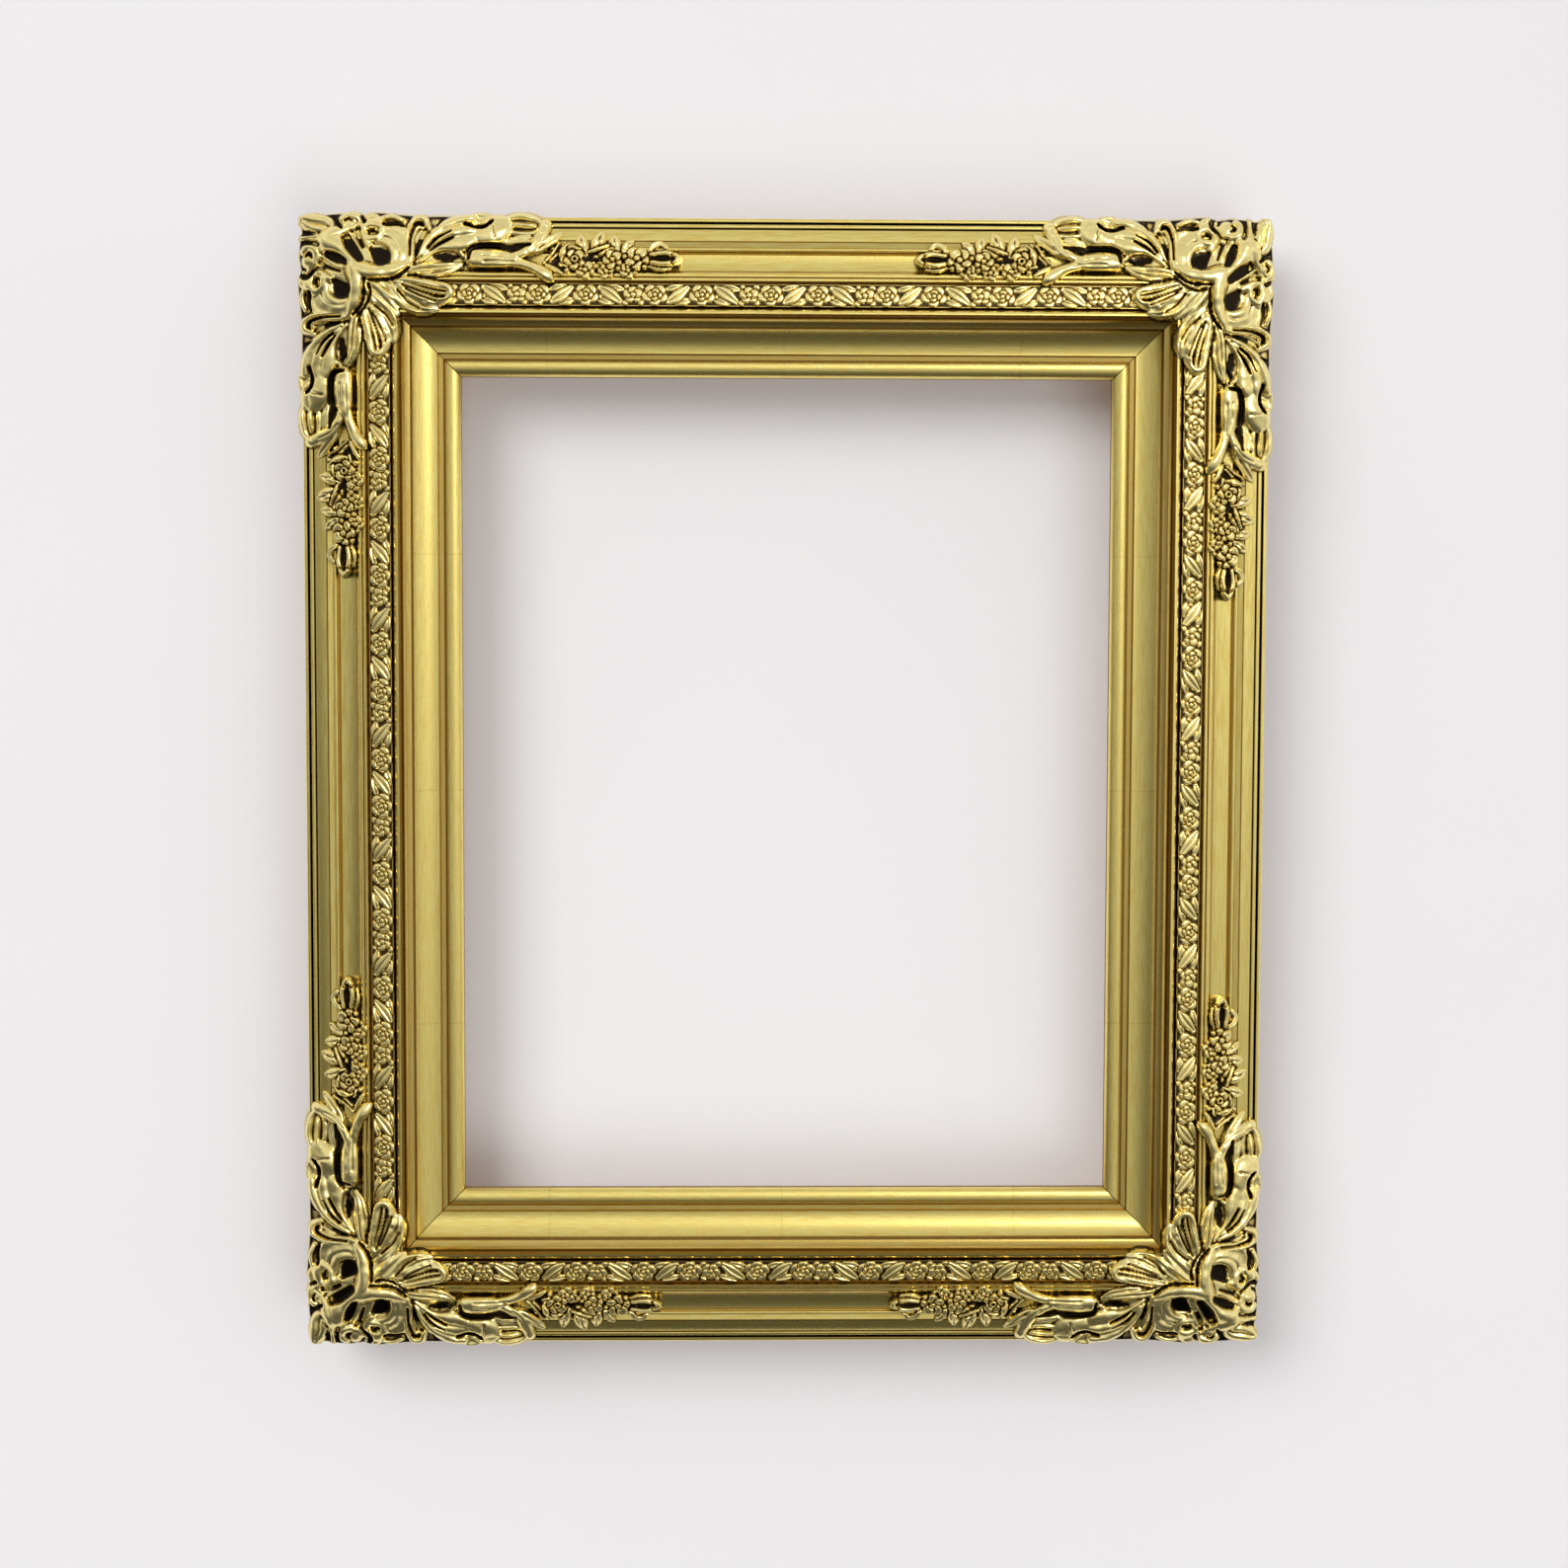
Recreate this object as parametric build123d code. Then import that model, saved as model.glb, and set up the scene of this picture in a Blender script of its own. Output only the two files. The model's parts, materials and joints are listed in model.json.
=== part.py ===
from build123d import *
import math
import os

# Ornate gilded picture frame, millimetres. X runs across the frame, Z up, and the front faces -Y.
# The origin is the centre of the picture opening, on the back plane of the rails.
# Every side is drawn as the top side: "along" runs from its left end, "across" runs inward from the
# outer edge, and "height" is measured from the back plane towards the viewer.

# Picture and rebate
picture_width = 406.4
picture_height = 508.0
picture_play = 1.6
shelf_width = 7.5
shelf_height = 13.0

# Rail moulding, walked from the outer edge inward: member, run, rise, bulge of the arc over its chord
edge_height = 23.0
rail_members = [
    ("outer lip", 2.4, 1.2, 0.5),
    ("lip groove", 0.4, -1.3, 0),
    ("lip groove rise", 0.6, 1.4, 0),
    ("outer bead", 2.8, 0.3, 1.35),
    ("bead groove", 0.5, -0.8, 0),
    ("bead groove rise", 0.5, 1.2, 0),
    ("sloping band", 7.6, 6.0, 0.6),
    ("outer quirk", 0.4, -0.5, 0),
    ("quirk floor", 3.3, 0.7, 0),
    ("quirk rise", 0.5, 1.2, 0),
    ("ridge bead", 2.2, 0.2, 1.05),
    ("inner quirk", 0.8, -0.4, 0),
    ("inner quirk rise", 1.5, 0.8, 0),
    ("hollow", 10.0, 5.5, -0.9),
    ("hollow step", 1.0, 0.9, 0),
    ("first twin bead", 2.7, 0.8, 1.2),
    ("twin groove", 0.3, 0.2, 0),
    ("second twin bead", 2.3, 0.2, 1.1),
    ("rose groove", 0.8, -1.4, 0),
    ("rose groove rise", 0.6, 0.4, 0),
    ("rose bed", 13.8, 1.8, 0),
    ("inner groove", 0.4, -1.6, 0),
    ("inner groove rise", 0.6, 1.4, 0),
    ("inner bead", 3.4, -0.2, 1.65),
    ("inner fall", 1.2, -3.0, 0),
    ("inner step", 0.6, 0.2, 0),
    ("cavetto", 4.4, -4.7, -0.8),
]
lip_thickness = 4.0
rail_lip_width = 5.6

# Liner moulding, walked inward from the rail's lip
liner_play = 0.5
liner_back = 4.0
liner_members = [
    ("lip shadow", 0.6, 0, 0),
    ("cove", 14.4, -9.0, -2.3),
    ("fillet", 0.6, -1.3, 0),
    ("fillet floor", 2.8, 0.2, 0),
    ("fillet rise", 0.8, 1.2, 0),
    ("sight roll", 9.6, -4.1, 2.3),
]

# Castings
glue_line = 0.25
bed_overhang = 8.0
casting_sink = 1.0
short_arm_ratio = 0.92
dome_facets = 6
spray_start = 150.0

# Rose band
band_side_gap = 0.3
band_ground = 0.7
band_start = 97.0
rose_pitch = 34.5
rose_radius = 5.6
rose_rise = 2.6
rose_petals = 6
leaf_length = 15.0
leaf_width = 5.0
leaf_rise = 1.6

# V-nails, across the mitres from behind
nail_leg = 6.0
nail_thickness = 0.6
nail_depth = 10.0
rail_nail_places = [18.0, 44.0]

# Framer's points, between rail and liner
point_width = 9.0
point_thickness = 0.6
point_bite = 7.0
point_reach = 6.0
points_on_short_side = 2
points_on_long_side = 3

# Hangers
hanger_drop = 215.0
hanger_inset = 30.0
strap_width = 13.0
strap_thickness = 1.6
strap_length = 20.0
strap_hole_drop = 11.0
hole_play = 0.2
knuckle_width = 12.0
knuckle_wall = 0.9
ring_wire = 2.4
ring_bar_play = 0.08
ring_eye_width = 17.0
ring_eye_depth = 14.0
ring_lean = 2.5
ring_facets = 8
ring_bends = 8
knuckle_facets = 12

# Screws
screw_shank = 3.0
screw_length = 11.0
screw_tip = 3.0
screw_head = 6.6
screw_head_height = 1.6
pilot_play = 0.05
screw_facets = 8

# Turn buttons
button_inset = 12.0
button_arm = 20.0
button_root_width = 10.0
button_tip_width = 8.0
button_thickness = 1.0
button_gap = 0.1
button_hole_play = 0.05
button_spread = 250.0
button_bends = 5

# Wall bumpers
bumper_diameter = 12.7
bumper_face = 9.5
bumper_height = 5.0
bumper_along = 60.0
bumper_across = 30.0


def walk(start, members):
    """Follow a moulding across its face and give each member's first and last point."""
    places = {}
    here = start
    for name, run, rise, bulge in members:
        there = (here[0] + run, here[1] + rise)
        places[name] = (here, there, bulge)
        here = there
    return places, here


rail_places, rail_end = walk((0.0, edge_height), rail_members)
rail_face = rail_end[0]
lip_underside = rail_end[1] - lip_thickness
rail_rebate = rail_face - rail_lip_width
liner_outer = rail_rebate + liner_play
liner_places, liner_end = walk((rail_face, lip_underside), liner_members)
sight_edge = liner_end[0]
rebate_wall = sight_edge - shelf_width
liner_nail_place = (liner_outer + rebate_wall) / 2
button_pivot = rebate_wall - button_inset
outer_width = picture_width + 2 * (picture_play + rebate_wall)
outer_height = picture_height + 2 * (picture_play + rebate_wall)

# Side name, turn about Y, length, distance from the centre to the outer edge
sides = [
    ("top", 0, outer_width, outer_height / 2),
    ("right", 90, outer_height, outer_width / 2),
    ("bottom", 180, outer_width, outer_height / 2),
    ("left", 270, outer_height, outer_width / 2),
]


def apex(places, name):
    """The highest point of a bead: the middle of its chord, raised by its bulge."""
    first, last, bulge = places[name]
    return ((first[0] + last[0]) / 2, (first[1] + last[1]) / 2 + bulge)


def bed_line():
    """The line over the bead tops that the castings are glued to, carried out flat past the outer edge."""
    lip_height = rail_places["outer lip"][1][1]
    tops = [(-bed_overhang, lip_height), (0.0, lip_height)]
    for name in ("outer bead", "ridge bead", "first twin bead", "second twin bead", "inner bead"):
        tops.append(apex(rail_places, name))
    tops.append((rail_places["inner bead"][1][0], tops[-1][1]))
    tops.append(rail_end)
    return [(across, height + glue_line) for across, height in tops]


bed = bed_line()


def bed_height(along, across):
    """Height of the casting bed at a point of the top left corner, which is mitred."""
    reach = min(along, across)
    for first, last in zip(bed, bed[1:]):
        if reach <= last[0]:
            share = (reach - first[0]) / (last[0] - first[0])
            return first[1] + share * (last[1] - first[1])
    return bed[-1][1]


def outline(points):
    """A face in the across-height plane; each point is (across, height, bulge of the arc to it)."""
    edges = []
    here = Vector(*points[-1][:2])
    for across, height, bulge in points:
        there = Vector(across, height)
        if bulge:
            chord = there - here
            off = Vector(-chord.Y, chord.X).normalized() * bulge
            edges.append(ThreePointArc(here, (here + there) * 0.5 + off, there))
        else:
            edges.append(Line(here, there))
        here = there
    return make_face(edges)


def member_points(places):
    """The last point of each member of a moulding with the bulge that leads to it."""
    return [(last[0], last[1], bulge) for first, last, bulge in places.values()]


def mitred_bar(section, length, edge):
    """Run a section along the top side and cut both ends at 45 degrees."""
    extra = bed_overhang
    start = Plane(origin=(length / 2 + extra, 0, edge), x_dir=(0, 0, -1), z_dir=(-1, 0, 0))
    bar = extrude(start * section, amount=length + 2 * extra)
    depth = sight_edge
    corners = [
        (-length / 2 - extra, 0, edge + extra),
        (length / 2 + extra, 0, edge + extra),
        (length / 2 - depth, 0, edge - depth),
        (-length / 2 + depth, 0, edge - depth),
    ]
    mitre = make_face(Polyline(*corners, close=True))
    return bar & extrude(mitre, amount=2 * outer_width, both=True, dir=(0, 1, 0))


def rail_section():
    points = [(0.0, edge_height, 0)] + member_points(rail_places)
    points += [(rail_face, lip_underside, 0), (rail_rebate, lip_underside, 0)]
    points += [(rail_rebate, 0.0, 0), (0.0, 0.0, 0)]
    return outline(points)


def liner_section():
    points = [(liner_outer, lip_underside, 0), (rail_face, lip_underside, 0)]
    points += member_points(liner_places)
    points += [(sight_edge, shelf_height, 0), (rebate_wall, shelf_height, 0)]
    points += [(rebate_wall, liner_back, 0), (liner_outer, liner_back, 0)]
    return outline(points)


def bed_section():
    """Everything under the casting bed, which is cut away from the castings."""
    points = [(across, height, 0) for across, height in bed]
    points += [(bed[-1][0], 0.0, 0), (bed[0][0], 0.0, 0)]
    return outline(points)


def spot(along, across, height, length, edge):
    """A point of the top side, from its along, across and height."""
    return Vector(along - length / 2, -height, edge - across)


def faceted(rings):
    """A solid of flat facets through rings of equally many points; the last ring may be a single point."""
    faces = []
    for lower, upper in zip(rings, rings[1:]):
        for number in range(len(lower)):
            after = (number + 1) % len(lower)
            if len(upper) == 1:
                faces.append([lower[number], lower[after], upper[0]])
            else:
                faces.append([lower[number], lower[after], upper[after]])
                faces.append([lower[number], upper[after], upper[number]])
    for ring in (rings[0], rings[-1]):
        middle = sum(ring, Vector()) * (1 / len(ring))
        for number in range(len(ring)):
            if len(ring) > 1:
                faces.append([ring[number], ring[(number + 1) % len(ring)], middle])
    return Solid(Shell([Face(Wire.make_polygon(corners)) for corners in faces]))


def circle_points(radius, facets):
    """Points spaced evenly on a circle."""
    turns = [math.tau * (number + 0.5) / facets for number in range(facets)]
    return [(radius * math.cos(turn), radius * math.sin(turn)) for turn in turns]


def ribbon(path, length, edge):
    """A ridged scroll or leaf on the bed; each point of its path is (along, across, width, rise)."""
    rings = []
    for number, (along, across, width, rise) in enumerate(path):
        before = path[max(number - 1, 0)]
        after = path[min(number + 1, len(path) - 1)]
        heading = Vector(after[0] - before[0], after[1] - before[1]).normalized()
        foot = Vector(-heading.Y, heading.X) * (width / 2 * (1 + casting_sink / rise))
        ring = []
        for share, lift in ((-1, -casting_sink), (0, rise), (1, -casting_sink)):
            at = Vector(along, across) + foot * share
            ring.append(spot(at.X, at.Y, bed_height(at.X, at.Y) + lift, length, edge))
        rings.append(ring)
    return faceted(rings)


def boss(along, across, radius, rise, length, edge):
    """A faceted dome on the bed, for knobs, curls, flowers and berries."""
    rings = []
    for share, lift in ((1.0, -casting_sink), (0.85, rise * 0.55)):
        ring = []
        for aside, inward in circle_points(radius * share, dome_facets):
            height = bed_height(along + aside, across + inward) + lift
            ring.append(spot(along + aside, across + inward, height, length, edge))
        rings.append(ring)
    rings.append([spot(along, across, bed_height(along, across) + rise, length, edge)])
    return faceted(rings)


# Forms of one arm of the corner casting, drawn on its long arm: (along, across, width, rise)
arm_ribbons = {
    "scroll top": [(38, 11, 6, 5), (43, 5, 8, 6), (56, 8, 8, 7), (64, 15, 8, 7), (66, 23, 7, 7)],
    "scroll foot": [(66, 20, 6, 6), (62, 32, 7, 6), (37, 36.5, 8, 6)],
    "loop leaf": [(67, 25, 4, 3), (65, 10, 5, 4), (70, 1, 5, 5), (77, 6, 4, 4)],
    "long leaf": [(59, 36, 5, 4), (70, 28, 8, 5), (80, 13, 14, 7.5), (96, 8, 14, 8), (106, 8, 9, 6)],
    "fluted shell": [(123, 7, 10, 5), (132, 6.5, 13, 6), (142, 6, 8, 4)],
    "finger stem": [(98, 26, 6, 4), (103, 26, 10, 7), (124, 26.5, 7, 6), (136, 21, 8, 6), (145, 7, 7, 5)],
    "lower branch": [(122, 28, 4, 4), (136, 31, 6, 5), (150, 38, 5, 4)],
    "hollow leaf": [(55, 37, 5, 3), (76, 33, 9, 4), (93, 29, 5, 2.5)],
    "band fan": [(52, 38, 5, 4), (66, 44, 11, 5), (80, 48, 13, 6), (94, 48, 6, 3)],
}
# Domes of one arm: (along, across, radius, rise)
arm_bosses = {
    "scroll eye": (43.5, 11, 5.5, 7),
    "rim curl": (107, 3, 5, 6),
    "knob": (116, 9, 9.5, 8),
}
# Forms on the mitre of the corner casting
corner_ribbons = {
    "palmette": [(4, 4, 8, 4), (16, 15, 16, 8), (26, 25, 8, 6), (38, 37, 9, 6)],
    "top volute stem": [(18, 14, 6, 6), (26, 9, 5, 5), (30, 5, 5, 4)],
    "side volute stem": [(14, 18, 6, 6), (9, 25, 5, 5), (5, 28, 5, 4)],
    "tongue": [(38, 38, 8, 4), (51, 51, 20, 5), (60, 60, 5, 2.5)],
}
corner_bosses = {
    "corner leaf": (7, 6, 6, 5),
    "top volute": (30, 4, 6, 6),
    "side volute": (4.5, 28, 5.5, 6),
}
# Forms of a flower spray; along is counted from the spray's start
spray_ribbons = {
    "stem": [(-1, 31, 5, 2.5), (30, 30.5, 8, 3), (67, 28.5, 5, 2.5)],
    "leaf cluster": [(22, 29.5, 5, 3), (27, 20, 10, 4.5), (31, 13, 4, 2.5)],
    "outer leaf": [(38, 29.5, 4, 3), (46, 14, 8, 3)],
    "inner leaf": [(49, 31, 5, 3), (64, 37, 6, 3)],
    "bud": [(65, 28.5, 8, 3), (81, 28, 7, 3.5)],
}
spray_bosses = {
    "open flower": (16, 27, 7, 6),
    "daisy": (57, 28, 7, 5.5),
    "berries": (28, 35.5, 5.5, 4.5),
    "small flower": (44, 37, 5, 4.5),
}


def turned(side, shape):
    """Turn what was drawn on the top side to its own side of the frame."""
    return Rot(0, side[1], 0) * shape


def casting(ribbons, bosses, length, edge, under):
    """Cut each form of a casting to the bed and fuse them."""
    forms = [ribbon(path, length, edge) for path in ribbons]
    forms += [boss(*place, length, edge) for place in bosses]
    body = forms[0] - under
    for form in forms[1:]:
        body += form - under
    return body


def corner_ornament():
    """The pierced corner casting of the top left corner, seated on both rails."""
    name, turn, length, edge = sides[0]
    ribbons = list(corner_ribbons.values())
    bosses = list(corner_bosses.values())
    for path in arm_ribbons.values():
        ribbons.append(path)
        ribbons.append([(across, along * short_arm_ratio, *form) for along, across, *form in path])
    for along, across, radius, rise in arm_bosses.values():
        bosses.append((along, across, radius, rise))
        bosses.append((across, along * short_arm_ratio, radius, rise))
    left = sides[3]
    under = mitred_bar(bed_section(), length, edge)
    under += turned(left, mitred_bar(bed_section(), left[2], left[3]))
    return casting(ribbons, bosses, length, edge, under)


def flower_spray(side, at_right_end):
    """A spray that runs on from a corner's long arm, or mirrored from the next corner's short arm."""
    name, turn, length, edge = side
    start = spray_start * (short_arm_ratio if at_right_end else 1)

    def along_side(offset):
        return length - start - offset if at_right_end else start + offset

    ribbons = []
    for path in spray_ribbons.values():
        ribbons.append([(along_side(offset), across, width, rise) for offset, across, width, rise in path])
    bosses = []
    for offset, across, radius, rise in spray_bosses.values():
        bosses.append((along_side(offset), across, radius, rise))
    return casting(ribbons, bosses, length, edge, mitred_bar(bed_section(), length, edge))


def rose_band(side):
    """A pressed strip of roses and leaf pairs on the rail's rose bed."""
    name, turn, length, edge = side
    first, last, bulge = rail_places["rose bed"]
    bed_width = math.dist(first, last)
    middle = ((first[0] + last[0]) / 2, (first[1] + last[1]) / 2)
    normal = (0, first[0] - last[0], last[1] - first[1])
    strip_start = band_start
    strip_end = length - band_start * short_arm_ratio

    def on_bed(along):
        return Plane(origin=spot(along, *middle, length, edge), x_dir=(1, 0, 0), z_dir=normal)

    strip_length = strip_end - strip_start
    on_top = (Align.CENTER, Align.CENTER, Align.MIN)
    strip = Box(strip_length, bed_width - 2 * band_side_gap, band_ground, align=on_top)
    strip = on_bed((strip_start + strip_end) / 2) * strip
    forms = []
    count = int((strip_length - leaf_length) / rose_pitch)
    for number in range(count):
        along = (strip_start + strip_end) / 2 + (number - (count - 1) / 2) * rose_pitch
        forms.append(on_bed(along) * rose())
        for lean in (-1, 1):
            forms.append(on_bed(along + rose_pitch / 2) * band_leaf(lean))
    return strip.fuse(*forms)


def rose():
    """A low faceted rose of petals round a raised heart."""
    rings = []
    for radius, lift in ((rose_radius, 0.0), (rose_radius * 0.75, rose_rise * 0.75)):
        rings.append([Vector(*at, lift) for at in circle_points(radius, rose_petals)])
    return faceted(rings + [[Vector(0, 0, rose_rise)]])


def band_leaf(lean):
    """A pointed leaf with a peak, to one side of the band's middle."""
    middle = lean * leaf_width / 2
    half = leaf_length / 2
    base = [(-half, middle), (0, middle - leaf_width / 2), (half, middle), (0, middle + leaf_width / 2)]
    return faceted([[Vector(*at) for at in base], [Vector(0, middle, leaf_rise)]])


def v_nail(place, bottom, length, edge):
    """An angled steel wedge across the mitre at the left end of a side."""
    low = spot(place, place, bottom, length, edge)
    legs = Box(nail_leg, nail_depth, nail_thickness, align=(Align.MIN, Align.MAX, Align.MAX))
    legs += Box(nail_thickness, nail_depth, nail_leg, align=(Align.MIN, Align.MAX, Align.MAX))
    return Pos(*low) * legs


def framers_points(side, count):
    """Flat pointed plates driven into the rail's rebate wall behind the liner."""
    name, turn, length, edge = side
    tip = rail_rebate - point_bite
    points = []
    for number in range(count):
        along = length / 2 + (number - (count - 1) / 2) * length / (count + 1)
        flat = liner_outer + point_reach
        corners = [
            (along, tip),
            (along + point_width / 2, rail_rebate),
            (along + point_width / 2, flat),
            (along - point_width / 2, flat),
            (along - point_width / 2, rail_rebate),
        ]
        face = make_face(Polyline(*[spot(a, c, liner_back, length, edge) for a, c in corners], close=True))
        points.append(extrude(face, amount=point_thickness, dir=(0, 1, 0)))
    return points


def along_y(stations):
    """A faceted solid about Y; each station is (radius, Y), and a radius of 0 is a point."""
    rings = []
    for radius, y in stations:
        ring = circle_points(radius, screw_facets) if radius else [(0, 0)]
        rings.append([Vector(x, y, z) for x, z in ring])
    return faceted(rings)


def screw():
    """A pan-head wood screw along Y, its head towards +Y and the head's underside at the origin."""
    shank = screw_shank / 2
    head = screw_head / 2
    stations = [(head * 0.7, screw_head_height), (head, 0.0), (shank, 0.0)]
    return along_y(stations + [(shank, screw_tip - screw_length), (0, -screw_length)])


def pilot_hole():
    """The hole that a screw's shank sits in, from the face of the wood inward."""
    radius = screw_shank / 2 + pilot_play
    floor = screw_tip - screw_length
    return along_y([(radius, screw_length), (radius, floor), (0, floor - 2 * screw_tip)])


knuckle_radius = ring_wire / 2 + ring_bar_play + knuckle_wall
hanger_height = outer_height / 2 - hanger_drop
hanger_across = outer_width / 2 - hanger_inset


def hanger_strap():
    """A folded steel strap with a knuckle for the ring's bar, drawn about the bar's axis at Z = 0."""
    plate = Pos(0, -strap_length / 2) * Rectangle(strap_width, strap_length)
    plate = chamfer(plate.vertices().group_by(Axis.Y)[0], strap_width / 4)
    plate -= Pos(0, -strap_hole_drop) * RegularPolygon(screw_shank / 2 + hole_play, screw_facets)
    flat = Rot(90, 0, 0) * extrude(plate, amount=-strap_thickness)
    bore = RegularPolygon(ring_wire / 2 + ring_bar_play, knuckle_facets, major_radius=False)
    sleeve = RegularPolygon(knuckle_radius, knuckle_facets) - bore
    middle = Plane(origin=(0, knuckle_radius, 0), z_dir=(1, 0, 0))
    knuckle = middle * extrude(sleeve, knuckle_width / 2, both=True)
    side_room = Box(strap_width, 2 * knuckle_radius, 2 * knuckle_radius)
    strap = flat + knuckle - middle * extrude(bore, strap_width, both=True)
    for way in (-1, 1):
        strap -= Pos(way * (knuckle_width + strap_width) / 2, knuckle_radius, 0) * side_room
    return strap


def hanger_ring():
    """A D-shaped wire ring on its straight bar, leaning on the rail's back."""
    half = (ring_eye_width + ring_wire) / 2
    shoulder = ring_eye_depth + ring_wire - half
    turns = [math.pi * number / ring_bends for number in range(ring_bends + 1)]
    bow = [(half * math.cos(turn), shoulder + half * math.sin(turn)) for turn in turns]
    path = Polyline((0, 0), (half, 0), *bow, (-half, 0), (0, 0))
    section = Plane(origin=(0, 0, 0), z_dir=(1, 0, 0)) * RegularPolygon(ring_wire / 2, ring_facets)
    ring = sweep(section, path=path, transition=Transition.RIGHT)
    return Pos(0, knuckle_radius, 0) * (Rot(90 + ring_lean, 0, 0) * ring)


button_drop = liner_back - button_gap
button_turns = [math.pi * (number / button_bends - 0.5) for number in range(button_bends + 1)]


def turn_button(direction):
    """A flat steel button about its pivot, pointing along its side, with its front face at Y = 0."""
    root = [(-direction * math.cos(turn), math.sin(turn)) for turn in button_turns]
    corners = [(x * button_root_width / 2, z * button_root_width / 2) for x, z in root]
    for x, z in root:
        corners.append((direction * button_arm - x * button_tip_width / 2, -z * button_tip_width / 2))
    plate = make_face(Polyline(*corners, close=True))
    plate -= RegularPolygon(screw_shank / 2 + button_hole_play, knuckle_facets, major_radius=False)
    return Rot(90, 0, 0) * extrude(plate, amount=-button_thickness)


# Name, side, place along the side from its middle, and the way the button points at rest
buttons = [
    ("turn_button_top", 0, 0.0, 1),
    ("turn_button_right_upper", 1, -button_spread / 2, 1),
    ("turn_button_right_lower", 1, button_spread / 2, 1),
    ("turn_button_bottom", 2, 0.0, 1),
    ("turn_button_left_lower", 3, -button_spread / 2, -1),
    ("turn_button_left_upper", 3, button_spread / 2, -1),
]


def bumper():
    """A tapered rubber foot on the back plane."""
    rings = []
    for diameter, y in ((bumper_diameter, 0.0), (bumper_face, bumper_height)):
        rings.append([Vector(x, y, z) for x, z in circle_points(diameter / 2, knuckle_facets)])
    return faceted(rings)


os.makedirs("parts", exist_ok=True)


def save(shape, node):
    export_step(shape, "parts/" + node + ".step")


# Fasteners first, because the wood is cut to take them
rail_nails = []
liner_nails = []
points = []
for side in sides:
    name, turn, length, edge = side
    for place in rail_nail_places:
        rail_nails.append(turned(side, v_nail(place, 0.0, length, edge)))
    liner_nails.append(turned(side, v_nail(liner_nail_place, liner_back, length, edge)))
    count = points_on_long_side if length > outer_width else points_on_short_side
    points += [turned(side, point) for point in framers_points(side, count)]

hanger_screws = []
hanger_holes = []
for way in (-1, 1):
    place = Pos(way * hanger_across, 0, hanger_height - strap_hole_drop)
    hanger_screws.append(place * Pos(0, strap_thickness, 0) * screw())
    hanger_holes.append(place * pilot_hole())

button_screws = []
button_holes = []
button_bodies = {}
for node, number, offset, direction in buttons:
    side = sides[number]
    pivot = Pos(offset, -button_drop, side[3] - button_pivot)
    button_bodies[node] = turned(side, pivot * turn_button(direction))
    head_seat = pivot * Pos(0, button_thickness + button_gap, 0)
    button_screws.append(turned(side, head_seat * screw()))
    button_holes.append(turned(side, pivot * pilot_hole()))

# Wood and castings, side by side
corner = corner_ornament()
corner_names = ["top_left", "top_right", "bottom_right", "bottom_left"]
spray_names = [
    ("top_left", "top_right"),
    ("right_upper", "right_lower"),
    ("bottom_right", "bottom_left"),
    ("left_lower", "left_upper"),
]
for number, side in enumerate(sides):
    name, turn, length, edge = side
    rail = turned(side, mitred_bar(rail_section(), length, edge))
    save(rail - rail_nails - points - hanger_holes, name + "_rail")
    liner = turned(side, mitred_bar(liner_section(), length, edge))
    save(liner - liner_nails - button_holes, name + "_liner")
    save(turned(side, rose_band(side)), name + "_rose_band")
    to_corner = Pos(-length / 2, 0, edge) * Pos(sides[0][2] / 2, 0, -sides[0][3])
    save(turned(side, to_corner * corner), "corner_ornament_" + corner_names[number])
    first_spray, second_spray = spray_names[number]
    save(turned(side, flower_spray(side, False)), "flower_spray_" + first_spray)
    save(turned(side, flower_spray(side, True)), "flower_spray_" + second_spray)

save(Compound(children=rail_nails), "rail_v_nails")
save(Compound(children=liner_nails), "liner_v_nails")
save(Compound(children=points), "liner_points")
save(Compound(children=hanger_screws), "hanger_screws")
save(Compound(children=button_screws), "turn_button_screws")
for node, shape in button_bodies.items():
    save(shape, node)
for name, way in (("left", -1), ("right", 1)):
    hanger_place = Pos(way * hanger_across, 0, hanger_height)
    save(hanger_place * hanger_strap(), "hanger_strap_" + name)
    save(hanger_place * hanger_ring(), "hanger_ring_" + name)
    bumper_place = Pos(way * (outer_width / 2 - bumper_along), 0, bumper_across - outer_height / 2)
    save(bumper_place * bumper(), "wall_bumper_" + name)
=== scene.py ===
import bpy
import json
import math
import numpy as np
from mathutils import Matrix, Vector


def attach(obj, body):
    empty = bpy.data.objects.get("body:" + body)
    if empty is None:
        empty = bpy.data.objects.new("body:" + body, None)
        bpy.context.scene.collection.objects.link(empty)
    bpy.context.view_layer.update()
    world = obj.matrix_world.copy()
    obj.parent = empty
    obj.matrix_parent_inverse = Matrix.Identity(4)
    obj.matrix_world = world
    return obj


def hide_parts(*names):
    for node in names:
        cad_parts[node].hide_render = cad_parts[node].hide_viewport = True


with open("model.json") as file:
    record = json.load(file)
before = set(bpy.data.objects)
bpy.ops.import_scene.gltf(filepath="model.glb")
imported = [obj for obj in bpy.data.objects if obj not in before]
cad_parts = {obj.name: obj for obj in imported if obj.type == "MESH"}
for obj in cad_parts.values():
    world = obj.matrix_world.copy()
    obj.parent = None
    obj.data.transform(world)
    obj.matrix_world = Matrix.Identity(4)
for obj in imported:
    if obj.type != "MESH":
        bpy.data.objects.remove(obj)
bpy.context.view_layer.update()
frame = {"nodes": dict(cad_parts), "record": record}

# Ornament is drawn in millimetres on the top side: "along" runs from its left end, "across" runs inward from
# the outer edge, and "height" is measured from the back plane towards the viewer.
metre = 0.001
outer_width = 583.4
outer_height = 685.0
edge_height = 23.0

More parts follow.
